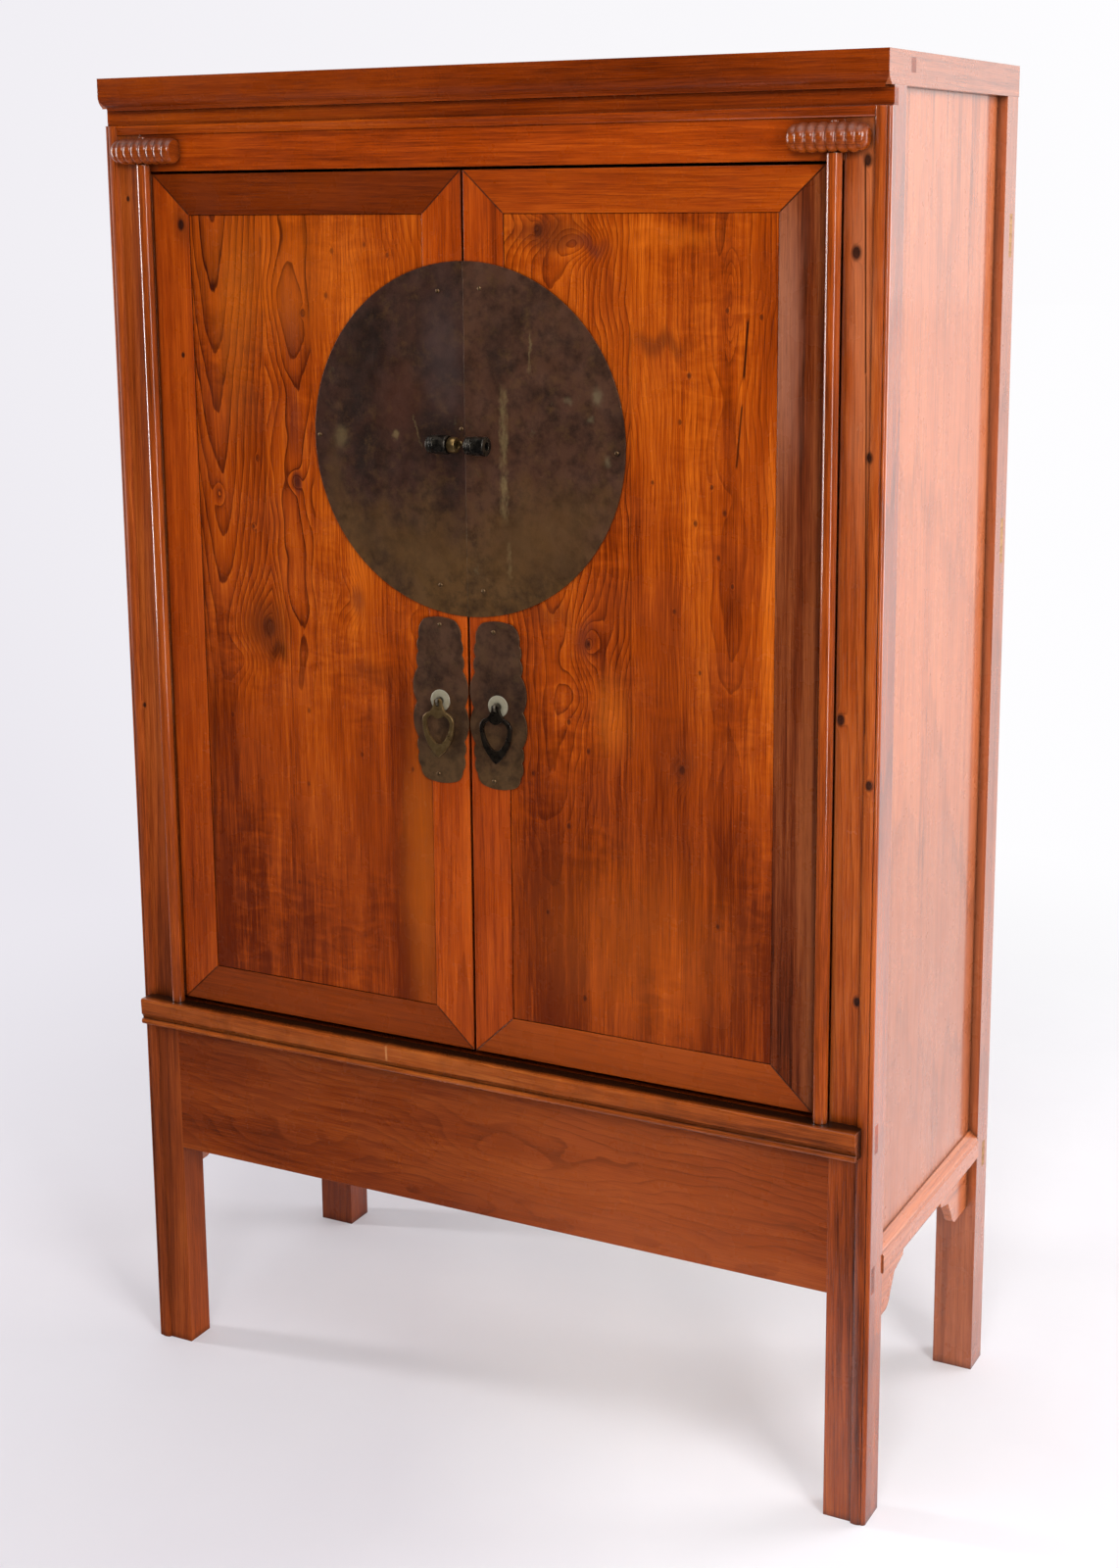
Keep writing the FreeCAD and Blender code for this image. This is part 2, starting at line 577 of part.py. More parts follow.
def make_inside():
    """The shelf, which also stops the doors, the floor of the hidden chamber and the bars of its lids."""
    thickness = ("middle_rail_top - shelf_thickness", "middle_rail_top")
    wide_part = board("shelf_wide_part", ("-panel_inside", "panel_inside"),
                      ("post_rear", "rear_post_front"), thickness)
    between_posts = board("shelf_long_part", ("-inner_face", "inner_face"),
                          ("door_back + running_gap", "rail_inside"), thickness)
    node("middle_shelf", joined("middle_shelf", [wide_part, between_posts]))
    under_shelf = "middle_rail_top - shelf_thickness"
    shelf_bars = [board(f"{name}_shelf_bearer", span(side, "panel_inside - bearer_size", "panel_inside"),
                        ("post_rear", "rear_post_front"), (f"{under_shelf} - bearer_size", under_shelf))
                  for name, side in SIDES]
    node("shelf_bearers", group("shelf_bearers", shelf_bars))
    floor_level = "lower_rail_bottom + lower_rail_height"
    node("chamber_floor",
         board("chamber_floor", ("-panel_face + side_rail_thickness", "panel_face - side_rail_thickness"),
               ("post_rear", "rear_post_front"), (floor_level, f"{floor_level} + floor_thickness")))
    bar = ("lid_foot - lid_bearer_height", "lid_foot")
    stop = (bar[0], "sill_top")
    across = ("-inner_face", "inner_face")
    bars = [board("floor_front_bar", across, ("field + apron_thickness", "post_rear + bearer_ledge"),
                  (f"{floor_level} - lid_bearer_height", floor_level)),
            board("floor_rear_bar", across, ("rear_post_front - bearer_ledge", "rail_inside"),
                  (f"{floor_level} - lid_bearer_height", floor_level)),
            joined("lid_front_bar",
                   [board("lid_front_ledge", across,
                          ("field + sill_thickness", "post_rear + bearer_ledge"), bar),
                    board("lid_front_stop", across, ("field + sill_thickness", "post_rear"), stop)]),
            joined("lid_rear_bar",
                   [board("lid_rear_ledge", across, ("rear_post_front - bearer_ledge", "rail_inside"), bar),
                    board("lid_rear_stop", across, ("rear_post_front", "rail_inside"), stop)]),
            board("lid_centre_bar", ("-centre_bearer_width / 2", "centre_bearer_width / 2"),
                  ("post_rear + bearer_ledge", "rear_post_front - bearer_ledge"), bar)]
    for name, side in SIDES:
        bars.append(board(f"lid_{name}_bar", span(side, "panel_inside - bearer_size", "panel_inside"),
                          ("post_rear + bearer_ledge", "rear_post_front - bearer_ledge"), bar))
    node("chamber_bearers", group("chamber_bearers", bars))
    for name, side in SIDES:
        blank = board(f"{name}_lid_board", span(side, "running_gap", "panel_inside - running_gap"),
                      ("post_rear + running_gap", "rear_post_front - running_gap"),
                      ("lid_foot + running_gap / 2", "sill_top"))
        hole = rod(f"{name}_finger_hole", "z",
                   (f"{side} * finger_hole_set", "(post_rear + rear_post_front) / 2",
                    "lid_foot - cut_overrun"),
                   "finger_hole_radius", "lid_thickness + cut_overrun * 2")
        node(f"{name}_chamber_lid", fitted(f"{name}_chamber_lid", blank, [hole]))


def make_hinge_block(name, side):
    """A carved block of rounded lobes, flat where it lies on the frieze, bored for the pole."""
    pitch = f"block_length / {BLOCK_LOBES}"
    start = "-block_length / 2"
    waist = "block_radius - block_groove"
    inner_drop = "block_cut_drop" if side < 0 else "block_end_drop"
    end_arc = (f"{pitch} * end_lobe_share", "right")
    lobe_arc = (f"{pitch} * lobe_radius_share", "right")
    points = [(start, "0"), (start, f"{waist} - block_end_drop") + end_arc]
    for index in range(1, BLOCK_LOBES):
        bend = end_arc if index == BLOCK_LOBES - 1 else lobe_arc
        points.append((f"{start} + {pitch} * {index}", waist) + bend)
    points += [("block_length / 2", f"{waist} - {inner_drop}"), ("block_length / 2", "0")]
    lathe = turned(f"{name}_block_turned", "XZ_Plane", points, "H_Axis")
    placed(lathe, (f"{side} * block_centre", "block_line", "block_height"))
    keep = board(f"{name}_block_front",
                 (f"{side} * block_centre - block_length", f"{side} * block_centre + block_length"),
                 ("block_line - block_radius * 2", "field"),
                 ("block_height - block_radius * 2", "block_height + block_radius * 2"))
    bore = rod(f"{name}_head_socket", "z", (f"{side} * pole_axis", "pole_line", "block_foot - cut_overrun"),
               "pin_radius + running_gap", "block_radius * 2 + cut_overrun * 2")
    shaped = common(f"{name}_block_shaped", lathe, keep)
    node(f"{name}_hinge_block", fitted(f"{name}_hinge_block", shaped, [bore, NODES[f"front_{name}_post"]]))


def make_pole(name, side):
    """The pivot pole of a door: a round front with a square back tongued into the stile."""
    main = rod(f"{name}_pole_round", "z", (f"{side} * pole_axis", "pole_line", "sill_top + running_gap"),
               "pole_radius", "block_foot - sill_top - running_gap * 2")
    pin = rod(f"{name}_pole_pin", "z", (f"{side} * pole_axis", "pole_line", "sill_top - foot_pin_length"),
              "pin_radius", "block_foot + block_radius * 2 + head_pin_proud - sill_top + foot_pin_length")
    web = board(f"{name}_pole_web", span(side, "door_edge", "pole_axis + pin_radius"),
                ("front + pole_web_front", "front + pole_web_back"), ("door_foot", "door_head"))
    tongue = board(f"{name}_pole_tongue", span(side, "door_edge - pole_tongue", "door_edge"),
                   ("front + pole_web_back - tongue_thickness", "front + pole_web_back"),
                   ("door_foot", "door_head"))
    return node(f"{name}_pivot_pole", joined(f"{name}_pivot_pole", [main, pin, web, tongue]))


def make_door_frame(name, side, pole):
    """Four mitred members with hidden tenons, a floating panel and two battens behind it."""
    outer = f"{side} * door_edge"
    outer_in = f"{side} * (door_edge - stile_width)"
    inner = f"seam_shift + {side} * seam_gap / 2"
    inner_in = f"seam_shift + {side} * (seam_gap / 2 + stile_width)"
    low, high = "door_foot", "door_head"
    low_in, high_in = "door_foot + door_rail_width", "door_head - door_rail_width"
    thickness = ("front", "door_back")
    frames = {"outer_stile": [(outer, low), (outer, high), (outer_in, high_in), (outer_in, low_in)],
              "inner_stile": [(inner, low), (inner, high), (inner_in, high_in), (inner_in, low_in)],
              "top_rail": [(inner, high), (outer, high), (outer_in, high_in), (inner_in, high_in)],
              "bottom_rail": [(inner, low), (outer, low), (outer_in, low_in), (inner_in, low_in)]}
    blanks = {word: extruded(f"{name}_{word}_mitred", "XZ_Plane", points, *thickness)
              for word, points in frames.items()}
    between = (outer_in, inner_in) if side < 0 else (inner_in, outer_in)
    tongue = board(f"{name}_panel_tongue", (f"{between[0]} - panel_tongue", f"{between[1]} + panel_tongue"),
                   ("door_tongue_front", "door_tongue_front + tongue_thickness"),
                   (f"{low_in} - panel_tongue", f"{high_in} + panel_tongue"))
    face = extruded(f"{name}_panel_field", "XZ_Plane",
                    [(between[0], low_in), (between[1], low_in), (between[1], high_in),
                     (between[0], high_in)],
                    "front + door_panel_recess", "front + door_panel_recess + door_panel_thickness")
    soften_front(face, "panel_shoulder")
    panel = node(f"{name}_door_panel", joined(f"{name}_door_panel", [face, tongue]))
    reach = "stile_width - tongue_thickness"
    tenon_span = (f"{between[0]} - ({reach})", f"{between[1]} + {reach}")
    tenon_depth = ("door_tongue_front + tongue_thickness", "door_tongue_front + tongue_thickness * 2")
    rails = {}
    for word, level in (("top_rail", f"{high_in} + panel_tongue + tongue_thickness"),
                        ("bottom_rail", f"{low_in} - panel_tongue - tongue_thickness - door_tenon_height")):
        tenon = board(f"{name}_{word}_tenon", tenon_span, tenon_depth,
                      (level, f"{level} + door_tenon_height"))
        blank = joined(f"{name}_{word}_blank", [blanks[word], tenon])
        rails[word] = fitted(f"{name}_{word}", blank, [panel, pole])
        node(f"{name}_door_{word}", rails[word])
    return blanks, rails, panel


def soften_front(body, size, shortest=0, both_faces=False):
    """Rounds the long enough edges around the front face of a swept section, or around both faces."""
    document.recompute()
    pad = body.Tip
    levels = [vertex.Y for vertex in pad.Shape.Vertexes]
    faces = [min(levels)] + [max(levels)] * both_faces
    front_edges = []
    for index, edge in enumerate(pad.Shape.Edges):
        flat = any(all(math.isclose(vertex.Y, level, abs_tol=SAME_PLACE) for vertex in edge.Vertexes)
                   for level in faces)
        if flat and edge.Length > shortest:
            front_edges.append(f"Edge{index + 1}")
    fillet = body.newObject("PartDesign::Fillet", body.Name + "_shoulder")
    fillet.Base = (pad, front_edges)
    bind(fillet, "Radius", size)
    return fillet


def make_lug(label, centre, points, neck_radius, collar_radius):
    """A turned lug on a shank that is driven through the lock plate into the stile."""
    middle = (centre, "lug_axis", "lug_height")
    barrel = placed(turned(f"{label}_barrel", "XZ_Plane", points, "H_Axis"), middle)
    neck = rod(f"{label}_neck", "y", middle, neck_radius, "lug_stand + plate_thickness + lug_tail")
    collar = rod(f"{label}_collar", "y", (centre, "plate_face - lug_collar_thickness", "lug_height"),
                 collar_radius, "lug_collar_thickness")
    bar_way = rod(f"{label}_way", "x", (f"{centre} - lug_length", "lug_axis", "lug_height"), "lug_bore",
                  "lug_length * 2")
    return node(label, fitted(label, joined(f"{label}_blank", [barrel, neck, collar]), [bar_way]))


def make_lock(name, side):
    """Half of the round lock plate and the lugs that take the padlock's bar."""
    edge = f"seam_shift + {side} * disc_seam_gap / 2"
    far = f"{edge} + {side} * disc_radius * 2"
    disc = rod(f"{name}_disc_round", "y", ("seam_shift", "plate_face", "disc_height"), "disc_radius",
               "plate_thickness")
    half = board(f"{name}_disc_half", (edge, far) if side > 0 else (far, edge),
                 ("plate_face - cut_overrun", "front + cut_overrun"),
                 ("disc_height - disc_radius * 2", "disc_height + disc_radius * 2"))
    start, end = "-lug_length / 2", "lug_length / 2"
    bead = "lug_radius - lug_step"
    waist = f"{start} + lug_bead * 2"
    beaded = [(start, "lug_bore"), (start, bead, "lug_bead * bead_radius_share", "right"),
              (f"{start} + lug_bead", bead, "lug_bead * bead_radius_share", "right"), (waist, bead),
              (waist, f"{bead} - lug_step"), (f"{waist} + lug_step", f"{bead} - lug_step"),
              (f"{waist} + lug_step", "lug_radius"), (f"{end} - lug_step / 2", "lug_radius"),
              (end, "lug_radius - lug_step / 2"), (end, "lug_bore")]
    lugs = [make_lug(f"{name}_lock_lug", f"seam_shift + {side} * lug_centre_set", beaded, "lug_neck_radius",
                     "lug_collar_radius")]
    if side < 0:
        ring = [("-ring_length / 2", "lug_bore"), ("-ring_length / 2", "ring_radius - lug_step / 2",
                                                   "ring_length * cap_radius_share", "right"),
                ("ring_length / 2", "ring_radius - lug_step / 2"), ("ring_length / 2", "lug_bore")]
        lugs.append(make_lug("seam_lock_ring", "seam_shift - ring_centre_set", ring, "ring_neck_radius",
                             "ring_neck_radius + lug_step / 2"))
    node(f"{name}_lock_plate", fitted(f"{name}_lock_plate", common(f"{name}_disc_cut", disc, half), lugs))
    return lugs


def scalloped_outline():
    """The outline of a pull plate: unequal scallops down both sides between two caps."""
    corner_width_shares = (0.52, 0.74, 0.76, 0.78, 0.84, 0.80, 0.79, 0.74, 0.52)
    corner_height_shares = (0.012, 0.13, 0.215, 0.31, 0.525, 0.74, 0.83, 0.92, 0.988)
    half = []
    for index, (wide, down) in enumerate(zip(corner_width_shares, corner_height_shares)):
        after = min(index + 1, len(corner_width_shares) - 1)
        run = (f"sqrt(pow(pull_plate_width / 2 * {corner_width_shares[after] - wide}; 2)"
               f" + pow(pull_plate_height * {corner_height_shares[after] - down}; 2))")
        half.append((f"pull_plate_width / 2 * {wide}",
                     f"pull_height + pull_plate_height / 2 - pull_plate_height * {down}",
                     f"{run} * scallop_radius_share", "right"))
    cap = (f"pull_plate_width * {corner_width_shares[0]} * plate_cap_share", "right")
    return both_halves(half, cap, cap)


def make_pull(name, side):
    """A scalloped plate, a washer with the split pin's eye, and the bail that hangs in it."""
    centre = f"seam_shift + {side} * pull_set"
    section = extruded(f"{name}_plate_section", "XZ_Plane", scalloped_outline(), "plate_face", "front")
    plate = placed(section, (centre, "0", "0"))
    washer = rod(f"{name}_washer", "y", (centre, "plate_face - washer_thickness", "pull_height"),
                 "washer_radius", "washer_thickness")
    ring = document.addObject("Part::Torus", f"{name}_eye_ring")
    ring.Placement = FreeCAD.Placement(FreeCAD.Vector(), turn_to("x"))
    bind(ring, "Radius1", "eye_radius")
    bind(ring, "Radius2", "eye_wire")
    placed(ring, (centre, "eye_line", "pull_height"))
    tail = rod(f"{name}_eye_tail", "y", (centre, "eye_line + eye_radius", "pull_height"), "eye_wire",
               "front + eye_tail - eye_line - eye_radius")
    eye = joined(f"{name}_eye", [ring, tail])
    washer = fitted(f"{name}_washer_ring", washer, [eye])
    node(f"{name}_pull_eye", group(f"{name}_pull_eye", [eye, washer]))
    node(f"{name}_pull_plate", fitted(f"{name}_pull_plate", plate, [eye]))
    make_bail(name, centre)
    return eye


def make_bail(name, centre):
    """A peach-shaped bail with a heart-shaped opening and a pin across its slotted head."""
    shoulder_share, widest_share = (0.50, 0.19), (1, 0.42)
    notch_share, lobe_share, cheek_share, foot_share = (0, 0.30), (0.36, 0.245), (0.78, 0.43), (0.30, 0.73)
    bend_shares = {"head": 0.4, "neck": 1, "shoulder": 0.62, "side": 2.4, "notch": 0.42, "lobe": 0.52,
                   "cheek": 1.8, "foot": 0.42}

    def place(share, bend=None, turn="right"):
        point = (f"bail_width / 2 * {share[0]}" if share[0] else "0", f"-bail_length * {share[1]}")
        return point + ((f"bail_width / 2 * {bend_shares[bend]}", turn) if bend else ())

    slot = "eye_wire + running_gap * 2"
    head = "bail_head_height"
    outer = both_halves([(slot, "-(eye_radius + eye_wire + running_gap * 3)"),
                         (slot, head, f"bail_width / 2 * {bend_shares['head']}", "right"),
                         ("bail_pin_length / 2", f"-{head}", f"bail_width / 2 * {bend_shares['neck']}",
                          "left"),
                         place(shoulder_share, "shoulder"), place(widest_share, "side"), place((0, 1))])
    heart = both_halves([place(notch_share, "notch", "left"), place(lobe_share, "lobe"),
                         place(cheek_share, "cheek"), place(foot_share)], place(foot_share, "foot")[2:])
    solid = extruded(f"{name}_bail_outline", "XZ_Plane", outer, "-bail_thickness / 2", "bail_thickness / 2")
    soften_front(solid, "bail_edge", number("bail_width / 3"), both_faces=True)
    opening = extruded(f"{name}_bail_heart", "XZ_Plane", heart, "-bail_thickness", "bail_thickness")
    for body in (solid, opening):
        placed(body, (centre, "eye_line", "pull_height"))
    ring = fitted(f"{name}_bail_ring", solid, [opening])
    pin = rod(f"{name}_bail_pin", "x", (f"{centre} - bail_pin_length / 2", "eye_line", "pull_height"),
              "bail_pin_radius", "bail_pin_length")
    return node(f"{name}_bail", joined(f"{name}_bail", [ring, pin]))


def make_door(name, side):
    """One door: pole, frame, panel, battens and brass furniture."""
    pole = make_pole(name, side)
    blanks, rails, panel = make_door_frame(name, side, pole)
    shanks = make_lock(name, side) + [make_pull(name, side)]
    stile = fitted(f"{name}_outer_stile", blanks["outer_stile"], [pole, panel] + list(rails.values()))
    node(f"{name}_door_outer_stile", stile)
    stile = fitted(f"{name}_inner_stile", blanks["inner_stile"], shanks + [panel] + list(rails.values()))
    node(f"{name}_door_inner_stile", stile)
    inner_side = f"seam_shift + {side} * (seam_gap / 2 + stile_width)"
    outer_side = f"{side} * (door_edge - stile_width)"
    across = (inner_side, outer_side) if side > 0 else (outer_side, inner_side)
    panel_back = "front + door_panel_recess + door_panel_thickness"
    battens = [board(f"{name}_{word}_batten", across, (panel_back, f"{panel_back} + batten_thickness"),
                     (level, f"{level} + batten_width"))
               for word, level in (("lower", "door_foot + lower_batten_rise"),
                                   ("upper", "door_head - upper_batten_drop"))]
    node(f"{name}_door_battens", group(f"{name}_door_battens", battens))


def finish():
    """Checks every object, then writes one file for each sub-part."""
    document.recompute()
    faults = [item.Label for item in document.Objects if "Invalid" in item.State or "Error" in item.State]
    if faults:
        raise RuntimeError("failed objects: " + ", ".join(faults))
    os.makedirs("parts", exist_ok=True)
    for label, item in NODES.items():
        shape = item.Shape
        if shape.isNull() or not shape.isValid() or not shape.Solids:
            raise RuntimeError("bad shape: " + label)
        shape.exportStep(os.path.join("parts", label + ".step"))


make_top()
neck = make_neck()
recess = make_front_members(neck)
make_sides()
make_back()
make_posts(neck, recess)
make_sill_moulding()
make_inside()
for side_name, side_sign in SIDES:
    make_hinge_block(side_name, side_sign)
    make_door(side_name, side_sign)
finish()
print(len(NODES), "nodes written")
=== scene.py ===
"""The looks of the cabinet: lacquered wood, patinated brass, nails, studio light and camera."""
import bmesh
import bpy
import math
from mathutils import Matrix, Vector


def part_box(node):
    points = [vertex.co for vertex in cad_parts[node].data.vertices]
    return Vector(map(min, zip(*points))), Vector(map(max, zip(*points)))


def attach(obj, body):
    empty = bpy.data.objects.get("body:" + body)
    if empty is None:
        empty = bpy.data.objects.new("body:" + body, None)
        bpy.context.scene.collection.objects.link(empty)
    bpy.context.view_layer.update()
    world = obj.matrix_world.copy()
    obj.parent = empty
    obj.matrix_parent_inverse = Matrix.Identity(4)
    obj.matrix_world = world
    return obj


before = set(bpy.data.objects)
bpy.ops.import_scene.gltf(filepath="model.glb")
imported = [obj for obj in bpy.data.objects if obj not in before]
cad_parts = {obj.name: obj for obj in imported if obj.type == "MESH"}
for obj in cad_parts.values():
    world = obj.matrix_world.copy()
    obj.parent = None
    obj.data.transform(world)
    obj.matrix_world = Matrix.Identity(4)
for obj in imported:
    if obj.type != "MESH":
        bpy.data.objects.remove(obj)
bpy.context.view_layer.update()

# Sizes in metres
NAIL_RADIUS = 0.0029
NAIL_RISE = 0.0013
WOOD_EDGE = 0.0011
PLATE_EDGE = 0.0006
PANEL_TONGUE = 0.007
MITRE_WIDTH = 0.0013
CORNER_REACH = 0.012
FLOOR_HALF = 30
# The pull's washer, and the split pin through it: the pin's middle and edge, how far it stands over
# the washer and over what depth its tint sets in
WASHER_RADIUS = 0.0145
WASHER_THICKNESS = 0.0010
PIN_CORE, PIN_EDGE = 0.0042, 0.0060
PIN_RISE, PIN_FADE = 0.0004, 0.0006
# How far in front of the doors the soot and the painted shadow on the ledge begin, and where they are full
SOOT_AND_SHADOW_BEGUN, SOOT_AND_SHADOW_FULL = 0.028, 0.012

# Camera: place in metres, turns in degrees, sensor in millimetres, the rest in pixels of the photo
PHOTO_HEIGHT = 1600
FOCAL_PIXELS = 2342.3
CENTRE_RIGHT, CENTRE_UP = 27.2, -137.1
CAMERA_PLACE = (1.4608, -2.7951, 1.6973)
CAMERA_YAW, CAMERA_DOWN, CAMERA_ROLL = 28.127, 11.343, -0.609
SENSOR = 36

# Lamps: name, place, target, width, height, watts, tint
LAMPS = [
    ("key", (3.4, -2.2, 2.8), (0, 0, 1.0), 1.4, 1.8, 92, (1.0, 0.98, 0.96)),
    ("left_edge", (-3.4, -0.8, 1.7), (0, 0, 1.6), 0.35, 2.3, 62, (1.0, 0.98, 0.97)),
    ("right_edge", (2.6, -2.4, 1.15), (0, 0, 1.1), 0.25, 2.1, 22, (1.0, 0.98, 0.97)),
    ("front_fill", (1.3, -4.1, 3.3), (0, 0, 1.3), 0.8, 1.0, 52, (1.0, 0.98, 0.97)),
    ("side_panel", (2.9, 2.1, 1.6), (0.5, 0, 1.0), 1.8, 2.4, 66, (1.0, 0.96, 0.97)),
    ("overhead", (0.2, -0.9, 4.2), (0, 0, 1.0), 2.6, 2.6, 50, (1, 1, 1)),
]

# The backdrop's right and left end, the left one greyer as painted shade, and the share of the way across
# where one turns into the other
FAR_WHITE = (0.99, 0.985, 1.0, 1)
FAR_SHADED_GREY = (0.83, 0.807, 0.862, 1)
GREY_END, WHITE_END = -0.50, 0.25

# How steeply a soft spot ends
SPOT_EDGE = 3
# How dark the line is across one ring, from early to late wood
RING_LINE = [(0.0, 0.0), (0.60, 0.02), (0.80, 0.20), (0.91, 1.0), (0.97, 1.0), (1.0, 0.0)]
# How fast rings lean along a plain member, and how far they wander
RING_LEAN = 0.03
RING_WANDER = 0.03
# How far apart in the tree one member's wood is from the next one's, and how far aside its heart lies
TREE_STEP = (0.137, 0.071, 0.219)
HEART_ASIDE = (-0.02, 0.03)
# Noises of the grain: scale across it, scale along it, detail, roughness, and distortion if any
GRAIN_NOISES = {
    "warp": (9, 1.8, 3, 0.5),
    "fine_warp": (110, 12, 2, 0.5),
    "patches": (16, 2.5, 2, 0.5),
    "fibre": (700, 14, 4, 0.7),
    "pores": (1300, 40, 2, 0.5),
    "cloud": (14, 1.6, 4, 0.6),
    "bands": (90, 1.1, 3, 0.6),
    "falls": (70, 1.4, 3, 0.6),
    "waves": (26, 70, 2, 0.5, 0.8),
    "waved_patches": (8, 5, 1, 0.5),
    "waviness": (26, 6, 2, 0.5),
}


def colour(red, green, blue):
    """A linear colour from display values of 0 to 255."""
    levels = []
    for value in (red, green, blue):
        share = value / 255
        levels.append(share / 12.92 if share <= 0.04045 else ((share + 0.055) / 1.055) ** 2.4)
    return (*levels, 1)


def scaled(tone, factor):
    """A lighter or darker form of a linear colour."""
    return tuple(min(1, part * factor) for part in tone[:3]) + (1,)


class Graph:
    """A material whose nodes are added by plain calls."""

    def __init__(self, name, owner=None):
        self.owner = owner or bpy.data.materials.new(name)
        self.owner.use_nodes = True
        self.tree = self.owner.node_tree
        self.tree.nodes.clear()

    def add(self, kind, inputs=None, **settings):
        made = self.tree.nodes.new(kind)
        for key, value in settings.items():
            setattr(made, key, value)
        for key, value in (inputs or {}).items():
            self.feed(made.inputs[key], value)
        return made

    def feed(self, socket, value):
        if isinstance(value, bpy.types.NodeSocket):
            self.tree.links.new(value, socket)
        else:
            socket.default_value = value

    def math(self, operation, first, second=0.0, clamp=False):
        return self.add("ShaderNodeMath", {0: first, 1: second}, operation=operation,
                        use_clamp=clamp).outputs[0]

    def vector(self, operation, first, second=(0, 0, 0)):
        made = self.add("ShaderNodeVectorMath", {0: first, 1: second}, operation=operation)
        return made.outputs["Value" if operation in ("LENGTH", "DOT_PRODUCT") else "Vector"]

    def total(self, values):
        result = values[0]
        for value in values[1:]:
            result = self.math("ADD", result, value)
        return result

    def mix(self, share, first, second):
        return self.add("ShaderNodeMix", {0: share, 6: first, 7: second}, data_type="RGBA").outputs[2]

    def ramp(self, value, stops):
        made = self.add("ShaderNodeValToRGB", {0: value})
        points = made.color_ramp.elements
        while len(points) < len(stops):
            points.new(1)
        for point, (place, tone) in zip(points, stops):
            point.position = place
            point.color = tone if isinstance(tone, tuple) else (tone, tone, tone, 1)
        return made.outputs[0]

    def rescale(self, value, low, high, new_low=0.0, new_high=1.0, smooth=False):
        return self.add("ShaderNodeMapRange", {0: value, 1: low, 2: high, 3: new_low, 4: new_high},
                        interpolation_type="SMOOTHSTEP" if smooth else "LINEAR").outputs[0]

    def noise(self, place, scale, detail, roughness, distortion=0.0):
        return self.add("ShaderNodeTexNoise", {"Vector": place, "Scale": scale, "Detail": detail,
                                               "Roughness": roughness, "Distortion": distortion}).outputs[0]

    def place(self):
        return self.add("ShaderNodeTexCoord").outputs["Object"]

    def axes(self, place):
        """The X, Y and Z of a place, by name."""
        return self.add("ShaderNodeSeparateXYZ", {0: place}).outputs

    def join(self, x=0.0, y=0.0, z=0.0):
        return self.add("ShaderNodeCombineXYZ", {0: x, 1: y, 2: z}).outputs[0]

    def ragged(self, place, cause, scale, detail, reach):
        """The place moved about by a noise, by up to half of the reach either way."""
        noise = self.add("ShaderNodeTexNoise", {"Vector": cause, "Scale": scale, "Detail": detail})
        moved = self.vector("ADD", place, self.vector("MULTIPLY", noise.outputs["Color"], reach))
        return self.vector("SUBTRACT", moved, tuple(size / 2 for size in reach))

    def edges(self, radius, samples):
        """The normal softened at the edges, and how far it turns from the plain one there."""
        soft = self.add("ShaderNodeBevel", {"Radius": radius}, samples=samples).outputs[0]
        plain = self.add("ShaderNodeNewGeometry").outputs["Normal"]
        return soft, self.math("SUBTRACT", 1.0, self.vector("DOT_PRODUCT", soft, plain))

    def hollows(self, reach):
        """Near 1 in the open and lower in corners."""
        return self.add("ShaderNodeAmbientOcclusion", {"Distance": reach}, samples=6).outputs["AO"]

    def spot(self, place, centre, spread, power=2):
        """A bump of 1 at a place on the front, dying off over its spreads in X and Z."""
        offset = self.vector("SUBTRACT", place, (centre[0], 0, centre[1]))
        reach = self.vector("LENGTH", self.vector("MULTIPLY", offset, (1 / spread[0], 0, 1 / spread[1])))
        return self.math("EXPONENT", self.math("MULTIPLY", self.math("POWER", reach, power), -1.0))

    def streak(self, place, start, end, width):
        """A mark of 1 along a straight run on the front, given in X and Z, dying off at its width."""
        run = Vector((end[0] - start[0], 0, end[1] - start[1]))
        way = run.normalized()
        offset = self.vector("SUBTRACT", place, (start[0], 0, start[1]))
        along = self.vector("DOT_PRODUCT", offset, tuple(way))
        aside = self.vector("DOT_PRODUCT", offset, (-way.z, 0, way.x))
        core = self.rescale(self.math("ABSOLUTE", aside), width * 0.35, width, 1.0, 0.0)
        begun = self.rescale(along, -width, width * 2)
        ended = self.rescale(along, run.length - width * 2, run.length + width, 1.0, 0.0)
        return self.math("MULTIPLY", core, self.math("MULTIPLY", begun, ended))

    def finish(self, surface):
        self.add("ShaderNodeOutputMaterial", {"Surface": surface})
        return self.owner


GRAIN_AXES = {"x": ("Z", "Y", "X"), "y": ("Z", "X", "Y"), "z": ("X", "Y", "Z")}


def along_grain(graph, place, axis, offset):
    """Turns a place so that X is across the grain, Y is into the board and Z is along it."""
    parts = graph.axes(place)
    across, depth, along = (parts[name] for name in GRAIN_AXES[axis])
    return graph.vector("ADD", graph.join(across, depth, along), offset)


def grain_noise(graph, grain, name):
    """One of the noises of the grain, drawn out along it."""
    across, along, *texture = GRAIN_NOISES[name]
    return graph.noise(graph.vector("MULTIPLY", grain, (across, across, along)), 1, *texture)


def plain_field(graph, grain, pith):
    """The distance from the heart of the tree, which wanders and leans along the grain."""
    parts = graph.axes(grain)
    sideways = graph.math("SUBTRACT", parts["X"], pith[0])
    reach = graph.vector("LENGTH", graph.join(sideways, pith[1]))
    lean = graph.math("MULTIPLY", parts["Z"], RING_LEAN)
    warp = graph.math("MULTIPLY", grain_noise(graph, grain, "warp"), RING_WANDER)
    return graph.total([reach, lean, warp]), 1.0


